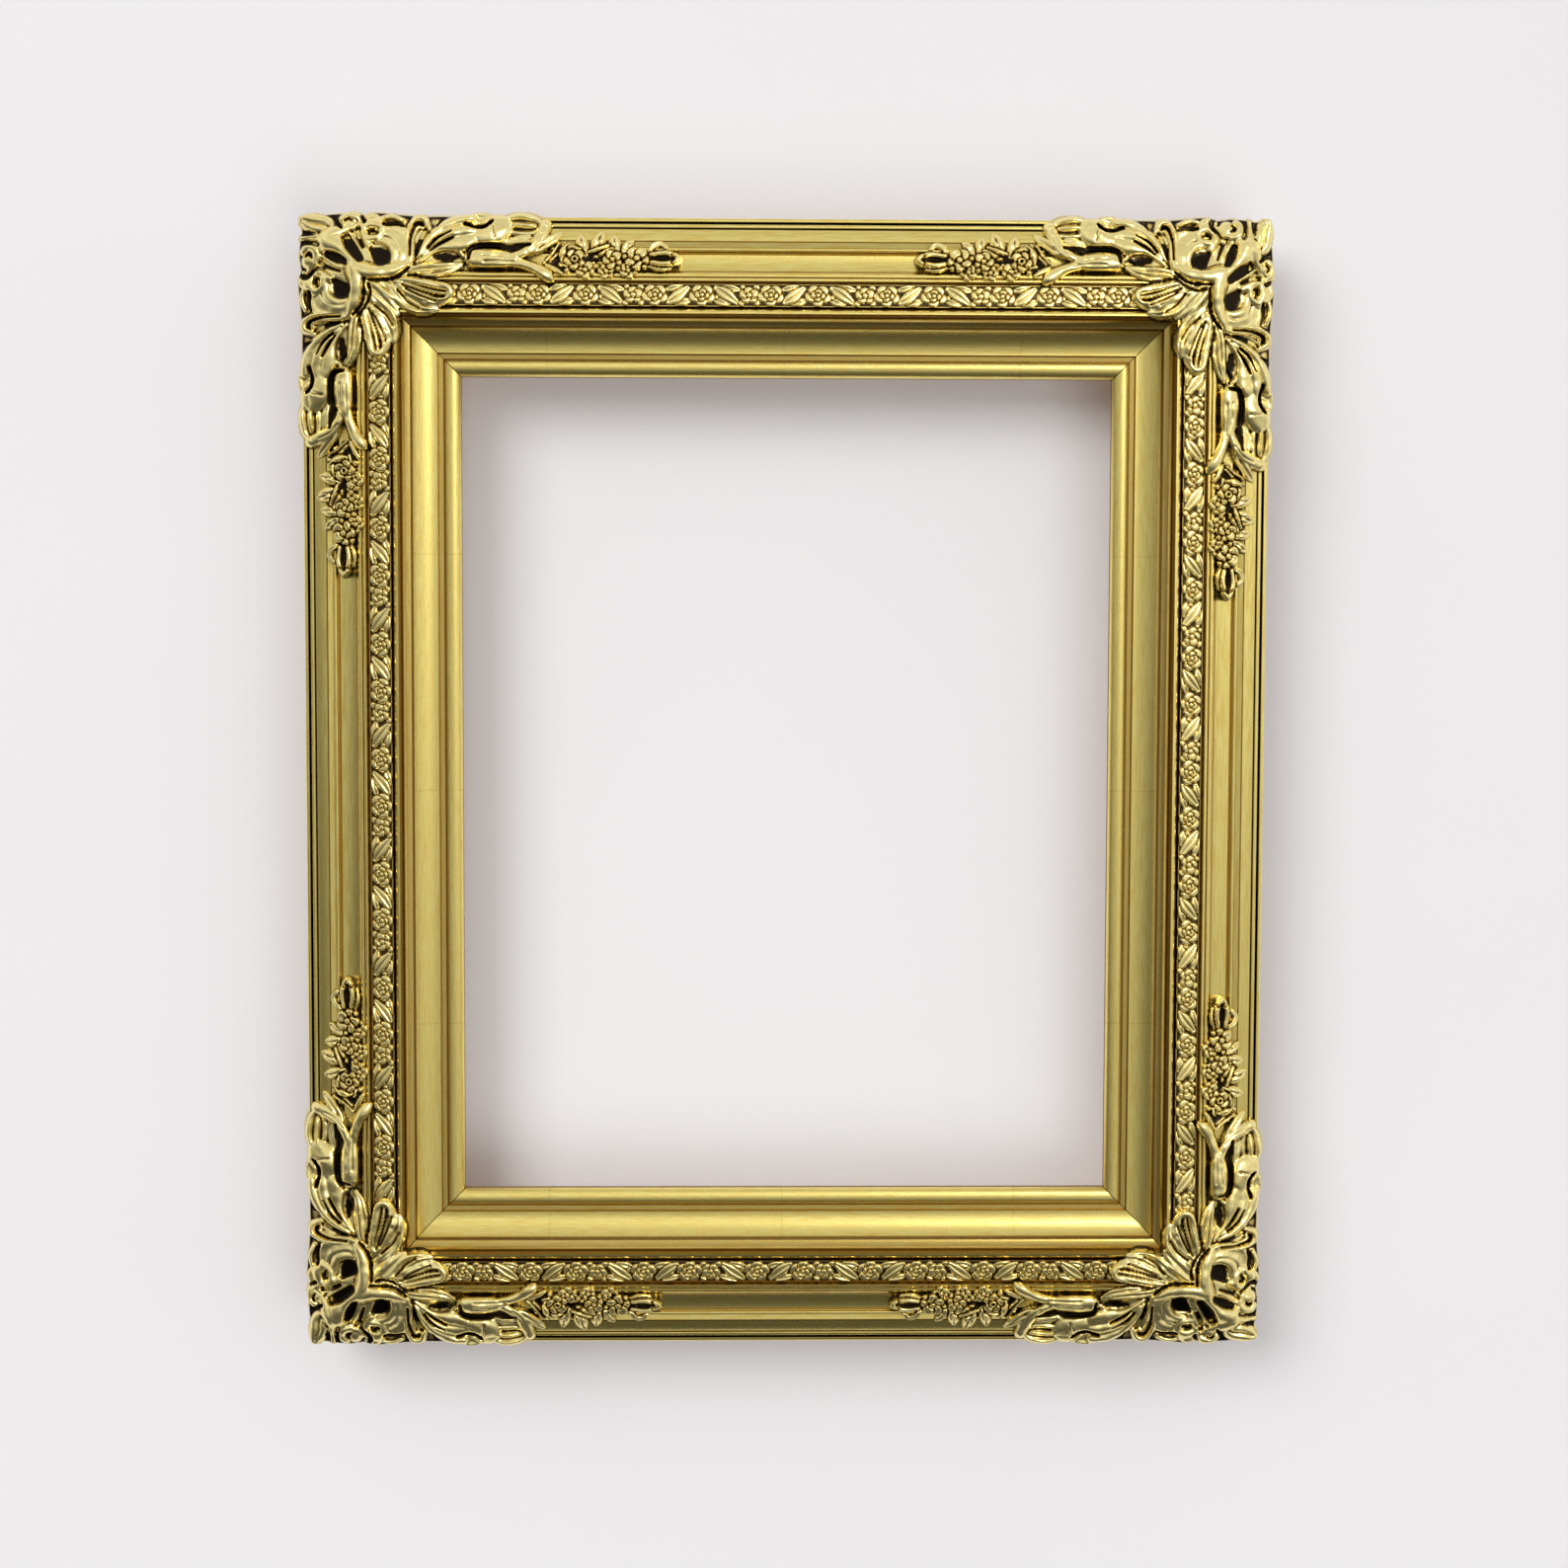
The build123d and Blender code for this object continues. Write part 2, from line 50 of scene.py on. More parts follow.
# Members of the mouldings, inward from the outer edge: name, run, rise and bulge
rail_members = [
    ("outer lip", 2.4, 1.2, 0.5),
    ("lip groove", 0.4, -1.3, 0),
    ("lip groove rise", 0.6, 0.6, 0),
    ("outer bead", 2.8, 1.6, 0.9),
    ("bead groove", 0.5, -1.3, 0),
    ("bead groove rise", 0.5, 3.0, 0),
    ("sloping band", 7.6, 4.2, 0.4),
    ("outer quirk", 0.4, -0.5, 0),
    ("quirk floor", 3.3, -0.5, 0),
    ("quirk rise", 0.5, 2.4, 0),
    ("ridge bead", 2.2, -0.1, 1.05),
    ("inner quirk", 0.8, -0.4, 0),
    ("inner quirk rise", 1.5, 2.1, 0),
    ("hollow", 10.0, 3.9, -0.7),
    ("hollow step", 1.0, 0.9, 0),
    ("first twin bead", 2.7, 1.6, 0.6),
    ("twin groove", 0.3, -0.5, 0),
    ("second twin bead", 2.3, 1.3, 0.5),
    ("rose groove", 0.8, -2.6, 0),
    ("rose groove rise", 0.6, 0.4, 0),
    ("rose bed", 13.8, 3.2, 0),
    ("inner groove", 0.4, -2.4, 0),
    ("inner groove rise", 0.6, 1.4, 0),
    ("inner bead", 3.4, 2.0, 0.5),
    ("inner fall", 1.2, -5.2, 0),
    ("inner step", 0.6, 0.2, 0),
    ("cavetto", 4.4, -4.7, -0.8),
]
liner_members = [
    ("lip shadow", 0.6, -1.0, 0),
    ("cove", 14.4, -7.2, -2.0),
    ("fillet", 0.6, -2.1, 0),
    ("fillet floor", 2.8, -0.2, 0),
    ("fillet rise", 0.8, 1.6, 0),
    ("sight roll", 6.4, 0.6, 0.8),
    ("sight edge", 3.2, -4.7, 0.9),
]
lip_thickness = 4.0
rail_lip_width = 5.6
liner_play = 0.5
liner_back = 4.0
shelf_width = 7.5
shelf_height = 13.0
nail_stand = 0.05
leaf_square = 143.0
short_arm_ratio = 0.92
spray_start = 150.0
band_start = 90.0
rose_pitch = 34.5
skirt = 5.0
skirt_run = 0.7
ground = 0.35
body = 1.8
corner_fullness = 1.38
spray_fullness = 1.3
small_crease = 0.7
band_crease = 0.5
band_fullness = 1.14

# Side name, quarter turns about Y, length, distance from the centre to the outer edge
sides = [
    ("top", 0, outer_width, outer_height / 2),
    ("right", 1, outer_height, outer_width / 2),
    ("bottom", 2, outer_width, outer_height / 2),
    ("left", 3, outer_height, outer_width / 2),
]


def walk(start, members):
    """First and last point and bulge of each member of the moulding, by name."""
    places = {}
    here = start
    for name, run, rise, bulge in members:
        there = (here[0] + run, here[1] + rise)
        places[name] = (here, there, bulge)
        here = there
    return places, here


rail_places, rail_end = walk((0.0, edge_height), rail_members)
lip_underside = rail_end[1] - lip_thickness
liner_places, liner_end = walk((rail_end[0], lip_underside), liner_members)


def bed_points():
    """The line over the bead tops that the castings lie on."""
    lip_height = rail_places["outer lip"][1][1]
    tops = [(-8.0, lip_height), (0.0, lip_height)]
    for name in ("outer bead", "ridge bead", "first twin bead", "second twin bead", "inner bead"):
        first, last, bulge = rail_places[name]
        tops.append(((first[0] + last[0]) / 2, (first[1] + last[1]) / 2 + bulge))
    tops.append((rail_places["inner bead"][1][0], tops[-1][1]))
    tops.append(rail_end)
    return np.array(tops)


bed = bed_points()


def side_bed(along, across):
    return np.interp(across, bed[:, 0], bed[:, 1])


def corner_bed(along, across):
    """The bed of a mitred corner, with the crease over the mitre rounded."""
    blend = 5.0
    near = np.minimum(along, across)
    apart = np.clip(blend - np.abs(along - across), 0, None)
    return side_bed(along, near - apart ** 2 / (4 * blend))


def rose_bed(along, across):
    first, last, bulge = rail_places["rose bed"]
    return np.interp(across, (first[0], last[0]), (first[1], last[1]))


# Relief drawing

def curve(points, samples=6):
    """A smooth line through rows of numbers (Catmull-Rom), with the given samples in each stretch."""
    rows = np.array(points, float)
    if len(rows) < 3:
        return rows
    padded = np.vstack([2 * rows[0] - rows[1], rows, 2 * rows[-1] - rows[-2]])
    steps = np.arange(samples)[:, None] / samples
    parts = []
    for before, start, end, after in zip(padded, padded[1:], padded[2:], padded[3:]):
        bend = 2 * before - 5 * start + 4 * end - after
        twist = 3 * start - before - 3 * end + after
        parts.append(start + 0.5 * ((end - before) * steps + bend * steps ** 2 + twist * steps ** 3))
    return np.vstack(parts + [rows[-1:]])


def dome(share, aside, way):
    return np.sqrt(np.clip(1 - share ** 2, 0, 1))


def ridge(share, aside, way):
    return np.clip(1 - share, 0, 1) ** 0.8


def leaf(share, aside, way):
    """A dome with a groove along its middle."""
    return dome(share, aside, way) * (1 - 0.4 * np.exp(-(share / 0.22) ** 2))


def pillow(share, aside, way):
    """A flat-topped form with round edges."""
    return np.sqrt(np.clip(1 - share ** 6, 0, 1))


def petal(share, aside, way):
    """A flat-topped form, a little hollow in its middle."""
    return pillow(share, aside, way) * (0.75 + 0.25 * np.clip(share, 0, 1) ** 2)


def vein(share, aside, way):
    """A flat-topped leaf with a groove along its middle."""
    return pillow(share, aside, way) * (1 - 0.35 * np.exp(-(share / 0.16) ** 2))


def gutter(share, aside, way):
    """A hollow band between two raised rims."""
    return dome(share ** 2, aside, way) * (0.55 + 0.45 * np.clip(share, 0, 1) ** 2)


def fluted(count):
    """A dome with ribs along it."""
    def shape(share, aside, way):
        return dome(share, aside, way) * (0.72 + 0.28 * np.cos(math.pi * count * aside))
    return shape


def veined(count):
    """A leaf with a middle groove and slanting side veins."""
    def shape(share, aside, way):
        veins = np.cos(math.tau * (count * way - 0.55 * share))
        return leaf(share, aside, way) * (0.87 + 0.13 * veins)
    return shape


class Relief:
    """Heights over a patch of a side, above the bed that it lies on. Free ground is a skirt below the bed."""

    def __init__(self, low, high, step):
        self.step = step
        self.along = np.arange(low[0], high[0] + step / 2, step)
        self.across = np.arange(low[1], high[1] + step / 2, step)
        self.height = np.full((len(self.along), len(self.across)), -skirt)
        # The skirt's darkness is wash and painted shade where a casting meets what lies under it; the cap
        # below is for hollows.
        self.skirt_wash_and_shade = 0.8
        self.most_wash_and_shade = 1.0

    def window(self, low, high):
        """The part of the grid between two points, as slices and coordinates."""
        first = np.searchsorted(self.along, low[0]), np.searchsorted(self.across, low[1])
        last = np.searchsorted(self.along, high[0]), np.searchsorted(self.across, high[1])
        area = slice(first[0], last[0]), slice(first[1], last[1])
        along, across = np.meshgrid(self.along[area[0]], self.across[area[1]], indexing="ij")
        return area, along, across

    def trace(self, path):
        """Where the grid lies to a path of (along, across, width, value).

        Gives the area, the distance inside the form's edge, that from the path as a share of the half width,
        the same with a sign for the side, the way along the path and the value there.
        """
        rows = curve(path)
        reach = rows[:, 2].max() / 2 + 1.5
        area, along, across = self.window(rows[:, :2].min(0) - reach, rows[:, :2].max(0) + reach)
        inside = np.full(along.shape, -np.inf)
        share, aside, way, value = (np.zeros(along.shape) for item in range(4))
        for number, (start, end) in enumerate(zip(rows, rows[1:])):
            run = end[:2] - start[:2]
            step = ((along - start[0]) * run[0] + (across - start[1]) * run[1]) / max(run @ run, 1e-9)
            step = np.clip(step, 0, 1)
            off_along = along - start[0] - step * run[0]
            off_across = across - start[1] - step * run[1]
            distance = np.hypot(off_along, off_across)
            half = (start[2] + step * (end[2] - start[2])) / 2
            nearer = half - distance > inside
            inside = np.where(nearer, half - distance, inside)
            share = np.where(nearer, distance / half, share)
            turn = np.sign(run[0] * off_across - run[1] * off_along)
            aside = np.where(nearer, turn * distance / half, aside)
            way = np.where(nearer, (number + step) / (len(rows) - 1), way)
            value = np.where(nearer, start[3] + step * (end[3] - start[3]), value)
        return area, inside, share, aside, way, value

    def raise_to(self, area, inside, top, crease=0.0):
        """Lift the grid to a form, with a steep skirt round it. A crease lays the form over what is there."""
        here = self.height[area]
        wall = np.maximum(inside / skirt_run * skirt, -skirt)
        if crease:
            near = np.sqrt(np.clip(1 + inside / crease, 0, 1))
            here = np.where(here > ground, here - (here - ground) * near, here)
            here = np.where(inside > 0, -skirt, here)
        self.height[area] = np.maximum(here, np.where(inside > 0, top, wall))

    def stroke(self, path, shape=dome, widen=1.0, crease=0.0):
        """A form along a path of (along, across, width, rise)."""
        area, inside, share, aside, way, rise = self.trace([(u, v, w * widen, r) for u, v, w, r in path])
        self.raise_to(area, inside, rise * shape(share, aside, way), crease)

    def carve(self, path, floor=ground):
        """A groove along a path of (along, across, width, depth), no deeper than the floor."""
        area, inside, share, aside, way, depth = self.trace(path)
        here = self.height[area]
        cut = here - depth * np.clip(1 - share ** 2, 0, 1)
        self.height[area] = np.where((inside > 0) & (here > floor), np.maximum(cut, floor), here)

    def knob(self, along, across, radius, rise, shape=dome, crease=0.0):
        """A round form."""
        reach = radius + 2
        area, u, v = self.window((along - reach, across - reach), (along + reach, across + reach))
        share = np.hypot(u - along, v - across) / radius
        self.raise_to(area, radius * (1 - share), rise * shape(share, 0, 0), crease)

    def ring(self, along, across, radius, width, rise):
        """A raised ring with a dark middle."""
        self.knob(along, across, radius + width / 2, ground, pillow, small_crease)
        reach = radius + width + 2
        area, u, v = self.window((along - reach, across - reach), (along + reach, across + reach))
        off = np.abs(np.hypot(u - along, v - across) - radius)
        self.raise_to(area, width / 2 - off, rise * dome(off / (width / 2), 0, 0))

    def blossom(self, along, across, petals, reach, radius, rise, turn, heart, flatness=1.0, shape=dome,
                crease=small_crease):
        """Petals laid one over the other round a heart."""
        for number in range(petals):
            angle = math.tau * (number + turn) / petals
            place = along + reach * math.cos(angle), across + reach * math.sin(angle) * flatness
            self.knob(*place, radius, rise, shape, crease)
        self.knob(along, across, heart, rise * 1.15, shape, crease)

    def blurred(self, heights, radius):
        """Gaussian blur over a radius in millimetres."""
        count = max(1, round(3 * radius / self.step))
        offsets = np.arange(-count, count + 1) * self.step
        weights = np.exp(-0.5 * (offsets / radius) ** 2)
        weights /= weights.sum()
        padded = np.pad(heights, count, mode="edge")
        rows = sum(w * padded[i:i + heights.shape[0]] for i, w in enumerate(weights))
        return sum(w * rows[:, i:i + heights.shape[1]] for i, w in enumerate(weights))

    def roughen(self, size, depth):
        """An uneven hand: soft random waves on the raised forms."""
        waves = self.blurred(np.random.default_rng(7).normal(size=self.height.shape), size)
        waves *= depth / waves.std()
        self.height += waves * smoothstep(1.0, 2.5, self.height)

    def wash_and_shade(self):
        """How much dark wash and painted shade: none on worn tops, most in hollows and on low ground, its own
        value on the skirt.
        """
        height = np.maximum(self.height, 0)
        fine = self.blurred(height, 0.9) - height
        broad = self.blurred(height, 3.0) - height
        low = 1 - smoothstep(0.5, 1.3, height)
        sunk = smoothstep(0.1, 0.8, fine) + 0.6 * smoothstep(0.1, 2.4, broad)
        dark_wash_and_shade = np.clip(sunk + low, 0, self.most_wash_and_shade)
        return self.skirt_wash_and_shade + (dark_wash_and_shade - self.skirt_wash_and_shade) * smoothstep(-1.5, 0.2, self.height)


def smoothstep(low, high, value):
    share = np.clip((value - low) / (high - low), 0, 1)
    return share * share * (3 - 2 * share)


# Corner casting

def swapped(path):
    """A form of the long arm, laid on the short arm."""
    return [(across, along * short_arm_ratio, *form) for along, across, *form in path]


# Body of the castings under the forms: (along, across, width, rise)
corner_ground = [(9, 9, 17, body), (30, 30, 58, body), (46, 46, 36, body)]
arm_ground = [(45, 18, 40, body), (70, 18, 36, body), (88, 14, 28, body), (104, 12, 22, body),
              (124, 13, 18, body), (138, 13, 10, body)]

corner_forms = [
    (leaf, [(2, 3, 5, 3), (8, 5, 9, 5), (15, 6, 7.5, 5), (21, 9, 3, 3)]),
    (dome, [(1, 13.5, 3, 2.5), (7, 12.5, 4, 3.5), (13, 14.5, 4, 4)]),
    (dome, [(2, 22, 3.5, 4), (5, 19.5, 4.5, 5), (9.5, 22, 4.5, 5.5), (10, 28, 4.5, 5), (6, 32, 4, 4)]),
    (dome, [(23, 5, 3.5, 4), (27, 1.5, 4, 5), (33, 1, 4.5, 5), (37, 4, 4, 4.5), (34, 7.5, 4, 4.5)]),
    (dome, [(14, 21, 5, 5), (15, 15, 7, 7), (20, 12, 8, 8), (26, 9.5, 6, 6.5), (30, 7.5, 4, 5)]),
    (dome, [(18, 17, 12, 8), (24, 18, 11, 8), (28, 23, 6, 7), (33, 29, 6, 7), (38, 34, 8, 7)]),
    (ridge, [(12, 24, 2, 4), (17, 28, 2.2, 3.5), (24, 33, 2, 3)]),
    (ridge, [(15, 25, 1.6, 3.5), (20, 29, 1.8, 3), (26, 33, 1.6, 3)]),
    (ridge, [(22, 26.5, 1.6, 3), (28, 32, 1.6, 3)]),
    (ridge, [(30, 11, 1.8, 4), (34, 17, 1.8, 3.5), (38.5, 24, 1.6, 3)]),
    (leaf, [(42, 42, 5, 4), (47, 47, 9, 5), (53, 53, 8, 4.5), (60, 60, 3, 2.5)]),
    (fluted(2), [(44, 41.5, 4, 4), (51, 46.5, 8, 5), (57, 51, 6, 4), (63, 56, 3, 2.5)]),
    (fluted(2), [(42, 46, 4, 4), (46.5, 54, 8, 5), (50.5, 62, 7, 4), (55, 70, 3, 2.5)]),
]
corner_knobs = [(5.5, 27.5, 5.0, 6.0), (30, 4, 4.6, 5.5)]
corner_grooves = [
    [(28, 14.5, 5, 9), (31.5, 20, 7, 9), (37, 27.5, 5, 9)],
    [(17, 24, 4, 8), (22, 26, 5.5, 8), (28, 29, 4, 8)],
    [(12, 28.5, 2, 5), (18, 32, 2.4, 5), (25, 34.6, 1.8, 5)],
    [(3, 25, 1.6, 4), (5.5, 23.5, 1.8, 4), (7.5, 26, 1.4, 3)],
    [(27, 3.5, 1.6, 4), (29, 2.3, 1.8, 4), (31.5, 3.5, 1.4, 3)],
    [(20.5, 1.5, 2.6, 6), (22.5, 5, 2.6, 6), (25.5, 8.5, 1.8, 5)],
    [(35, 8.5, 3.4, 8), (36, 14, 3, 8), (38.5, 20, 2.4, 7)],
    [(-1, 11, 3.6, 6), (4, 11, 3.4, 6), (9, 11.5, 2, 4)],
    [(-1, 16.5, 3, 6), (6, 16.8, 2.6, 6), (12, 18.5, 1.8, 5)],
    [(-1, 35.5, 4, 7), (4, 37, 4, 7), (9, 33.5, 2.6, 6), (15, 32.4, 1.8, 5)],
    [(36.5, 0.5, 2.6, 6), (38.5, 4, 2.6, 6)],
    [(43, 43, 2.2, 6), (44, 49, 2, 6), (40, 57, 2, 6), (36, 61, 1.8, 6)],
]

# One arm, drawn on the long arm
arm_forms = [
    (dome, [(37, 9, 4, 5), (40, 6, 5.5, 6), (45, 5.2, 6, 7), (50, 8, 5, 6.5), (47.5, 13, 5, 6),
            (42, 14.5, 5, 6)]),
    (dome, [(38, 11, 5, 6), (41, 16, 5, 5), (43, 20, 3, 4)]),
    (gutter, [(49, 8.5, 6, 6.5), (56, 9.5, 7.5, 7), (62, 14, 8, 7.5), (65, 22, 7.5, 7.5), (64, 29, 6.5, 7),
              (59, 33.5, 6, 6.5)]),
    (dome, [(46, 16, 3.5, 4), (51, 16, 5, 5), (56, 19, 5.5, 5.5), (58, 25, 5, 5), (57, 31, 3.5, 4)]),
    (dome, [(36, 34, 9, 7.5), (44, 35.5, 8, 7.5), (54, 35, 7.5, 7), (62, 32.5, 5.5, 6.5), (67, 30.5, 3, 5)]),
    (dome, [(38, 1.5, 2.4, 3.5), (43, 0.5, 3, 4), (47, 2, 2.4, 3.5)]),
    (dome, [(49, 1.5, 2, 3.5), (55, 0.8, 2.6, 4), (61, 3, 2, 3.5)]),
    (dome, [(67.5, 28, 2.2, 4), (65.6, 18, 3, 5), (65.5, 9, 3.4, 6), (69, 2.5, 3.6, 6), (74, 2.5, 3.6, 6),
            (77, 8, 3, 5)]),
    (dome, [(68.5, 26, 1.6, 3), (68, 15, 2, 4), (70.5, 7.5, 2.2, 4.5), (73.5, 8, 2, 4)]),
    (ridge, [(70.5, 25, 1.6, 3.5), (72.5, 17, 1.8, 4), (75.5, 10, 1.8, 4)]),
    (dome, [(72, 26, 2, 4), (77, 17, 4.5, 6.5), (84, 8.5, 5.5, 8), (94, 4, 6, 8.5), (103, 2.5, 5, 7.5)]),
    (dome, [(75, 25, 2, 4), (81, 17.5, 4.5, 6.5), (90, 11.5, 7, 8.5), (100, 9, 8, 8.5), (107, 9.5, 6, 7)]),
    (dome, [(77, 25.5, 2, 4), (84, 20, 4, 5.5), (93, 17, 9, 7), (101, 15.5, 9, 7), (106, 13, 5, 6)]),
    (ridge, [(72, 29, 2, 3.5), (79, 24, 3, 4.5), (86, 21.5, 3, 4.5), (95, 22, 3, 4), (98, 25, 3, 3.5)]),
    (gutter, [(99, 3.5, 3, 6), (104, 2, 5.4, 7), (110, 2, 5.4, 7), (114.5, 3.2, 4, 6)]),
    (dome, [(107, 12, 8, 7), (113, 10, 14, 8.5), (119, 8, 13, 8), (123.5, 6.5, 7, 6.5)]),
    (fluted(3), [(123, 6, 9, 5.5), (130, 5.5, 12, 6.5), (138, 6, 11, 5.5), (142, 6, 6, 4)]),
    (leaf, [(121, 18, 2.5, 3), (128, 15.5, 5, 4), (136, 14.5, 4.5, 4), (141, 15.5, 2.5, 3)]),
    (dome, [(105, 26.5, 9, 6.5), (113, 26.5, 9.5, 7.5), (121, 27, 8.5, 7), (128, 27.5, 6.5, 6)]),
    (dome, [(126, 26, 4, 5), (134, 23.5, 5, 6), (140, 19, 6, 6.5), (144, 12, 6.5, 6.5), (146.5, 6, 6.5, 6)]),
    (leaf, [(140, 22, 4, 4.5), (146, 18.5, 6, 5.5), (152, 14, 5.5, 5), (156, 10.5, 2.5, 3)]),
    (dome, [(127, 29, 4.5, 5), (135, 30.5, 5, 5.5), (142, 33, 5.5, 5.5), (148, 37, 6, 5.5),
            (151, 39.5, 3.5, 4)]),
    (fluted(3), [(62, 38, 3, 3), (70, 35.5, 7, 4.5), (80, 34.5, 8, 4.5), (90, 33, 6, 4), (97, 30.5, 3, 3)]),
    (fluted(4), [(59, 41, 3, 4), (67, 44, 9, 5.5), (76, 47, 12, 6.5), (84, 48.5, 11, 6.5), (90, 48.5, 7, 5)]),
    (dome, [(62, 40, 2, 4), (72, 41, 2.6, 5), (82, 42.5, 2.8, 5.5), (90, 45, 4, 6), (91.5, 49, 4, 5.5),
            (87, 52.5, 3, 4.5), (78, 53.5, 2.4, 4)]),
    (fluted(3), [(56, 44, 3, 3.5), (63, 50.5, 7.5, 5), (70, 55, 9, 5), (77, 57.5, 6, 4), (83, 57.5, 3, 3)]),
]
arm_knobs = [(146.5, 5.5, 3.6, 6.5), (115, 9.5, 7.5, 9.0)]
arm_grooves = [
    [(44, 22, 4, 9), (49.5, 26, 10.5, 9), (50, 28.5, 8, 9)],
    [(42.5, 11.5, 2.2, 7), (46.5, 11.3, 2.4, 7)],
    [(50.5, 5.5, 3, 7), (58, 5.3, 2.8, 7), (61.5, 6.5, 2, 6)],
    [(66.8, 25, 1.6, 6), (66.6, 14, 1.8, 6), (69, 5.5, 1.5, 5), (72, 4.5, 1.3, 4)],
    [(70.5, 25, 2, 7), (72.4, 16, 3.2, 7), (75.3, 8.5, 2, 6)],
    [(77.5, 20.5, 2, 6), (83, 14.5, 2, 6), (91, 10.2, 1.4, 4)],
    [(79, 21.8, 1.8, 6), (85, 17.8, 2, 6), (92, 14, 1.3, 4)],
    [(84, 2.5, 2.4, 6), (82, 7, 1.6, 5)],
    [(82, 26, 3, 7), (88, 26, 4.6, 7), (93, 27, 3, 6)],
    [(99, 5.4, 2.2, 6), (104.5, 7.2, 2.6, 7), (110.5, 7, 2.8, 7), (115, 3.4, 2, 6)],
    [(101.5, 27, 2.6, 7), (103, 20.8, 3.4, 7), (112, 18.9, 3.6, 7), (124, 19.2, 3.2, 7), (138, 18.3, 2, 6)],
    [(63, 43, 1.4, 4), (74, 47, 1.8, 5), (87, 50.2, 1.6, 4)],
    [(65, 45.5, 1.4, 4), (74, 50, 1.6, 5), (83, 53, 1.4, 4)],
    [(60, 46.5, 1.6, 5), (66, 53, 1.8, 5), (73, 57, 1.5, 4)],
    [(66, 37, 1.5, 4), (76, 38.5, 1.8, 4), (82, 38.6, 1.4, 3)],
    [(110, 25.5, 1.2, 1.6), (118, 25.8, 1.2, 1.6), (126, 26.8, 1, 1.4)],
    [(111, 29.2, 1.2, 1.6), (121, 29, 1.2, 1.6), (132, 29.6, 1, 1.4)],
    [(136, 23.5, 1, 1.6), (142, 18, 1.1, 1.6), (145, 11, 1, 1.4)],
    [(141, 26.5, 2.4, 5), (147, 23, 2.6, 5), (153, 18, 2, 4)],
    [(43, 40.4, 1.8, 6), (52, 40, 1.8, 6), (60, 38.4, 1.7, 6), (66.5, 32.8, 1.4, 6)],
    [(113, 3, 1.1, 2), (116, 8, 1.3, 2.2), (117, 14, 1.1, 2)],
]


def corner_relief():
    relief = Relief((-5, -5), (160, 150), step=0.6)
    relief.stroke(corner_ground)
    relief.stroke(arm_ground)
    relief.stroke(swapped(arm_ground))
    for shape, path in corner_forms:
        relief.stroke(path, shape, corner_fullness)
    for place in corner_knobs:
        relief.knob(*place)
    for shape, path in arm_forms:
        relief.stroke(path, shape, corner_fullness)
        relief.stroke(swapped(path), shape, corner_fullness)
    for along, across, radius, rise in arm_knobs:
        relief.knob(along, across, radius, rise)
        relief.knob(across, along * short_arm_ratio, radius, rise)
    for path in corner_grooves:
        relief.carve(path)
    for path in arm_grooves:
        relief.carve(path)
        relief.carve(swapped(path))
    relief.roughen(size=2.4, depth=0.2)
    relief.roughen(size=1.2, depth=0.07)
    relief.height = relief.blurred(relief.height, radius=0.4)
    # The skirt is gold along the frame's outer edges, and inside them dark with wash and painted shade where
    # the casting meets the rails.
    from_edge = np.minimum(relief.along[:, None], relief.across[None, :])
    relief.skirt_wash_and_shade = 0.25 + 0.55 * smoothstep(2.0, 6.0, from_edge)
    return relief


# Flower spray; along is counted from the spray's start
spray_ground = [(0, 28, 8, ground), (12, 27, 16, ground), (30, 26, 20, ground), (46, 27, 18, ground),
                (60, 27, 11, ground), (72, 27, 6, ground)]
spray_forms = [
    (ridge, [(-4, 29.5, 1.8, 3), (1, 24, 2.2, 4), (5, 17, 2.2, 4)]),
    (ridge, [(0, 28.5, 1.8, 3), (5, 23, 2.2, 4), (8.5, 16.5, 2.2, 4)]),
    (dome, [(-2, 31, 2.4, 3), (3, 33.5, 3, 3.6), (7, 36, 2.2, 3)]),
    (dome, [(6, 30, 2.4, 3), (16, 30.8, 3, 3.4), (27, 29.8, 3, 3.4), (34, 29.4, 2.4, 3)]),
    (veined(2), [(20.4, 24, 3, 3.6), (18.6, 17.6, 6.6, 4.8), (17.6, 12, 3, 3.2)]),
    (veined(2), [(28, 22, 3, 3.6), (28.4, 16, 7.6, 5.2), (30.6, 10, 3, 3.4)]),
    (veined(2), [(38.4, 23, 3, 3.6), (38.2, 17.4, 6.6, 4.8), (37.8, 12.6, 3, 3.2)]),
    (veined(2), [(43.6, 23, 2.6, 3.4), (45.6, 18.4, 5, 4.2), (48.6, 15.2, 2.6, 3.2)]),
    (dome, [(23.4, 22.4, 2, 3.8), (29, 20.4, 2.6, 4.6), (34.4, 18.2, 2, 3.8)]),
    (dome, [(27.4, 25.2, 2, 3.8), (32, 22.8, 2.6, 4.6), (36.4, 20.4, 2, 3.8)]),
    (dome, [(7.4, 27.4, 3.4, 4.4), (8.2, 22.6, 5.2, 6), (11, 19.8, 4.8, 6)]),
    (dome, [(12.4, 20.4, 4, 5), (15.8, 21.8, 4.4, 5.4), (19.4, 24.8, 2.6, 4)]),
    (leaf, [(59, 22, 2.4, 3.4), (61.6, 18, 3.4, 4.2), (66, 17, 3, 4), (69, 20, 2.2, 3.4)]),
    (leaf, [(58, 30, 2.4, 3.2), (64, 32.2, 3.6, 4), (71, 32.2, 2.4, 3.2)]),
    (dome, [(60, 23.8, 2.4, 3.8), (68, 22.8, 3, 4.4), (75, 24.4, 3, 4.6)]),
    (dome, [(59, 28.4, 2.4, 3.8), (67, 29.6, 3, 4.4), (75, 28.2, 3, 4.6)]),
    (dome, [(74, 24, 2.6, 4.4), (76.6, 26.3, 3, 4.6), (74, 28.6, 2.6, 4.4)]),
]
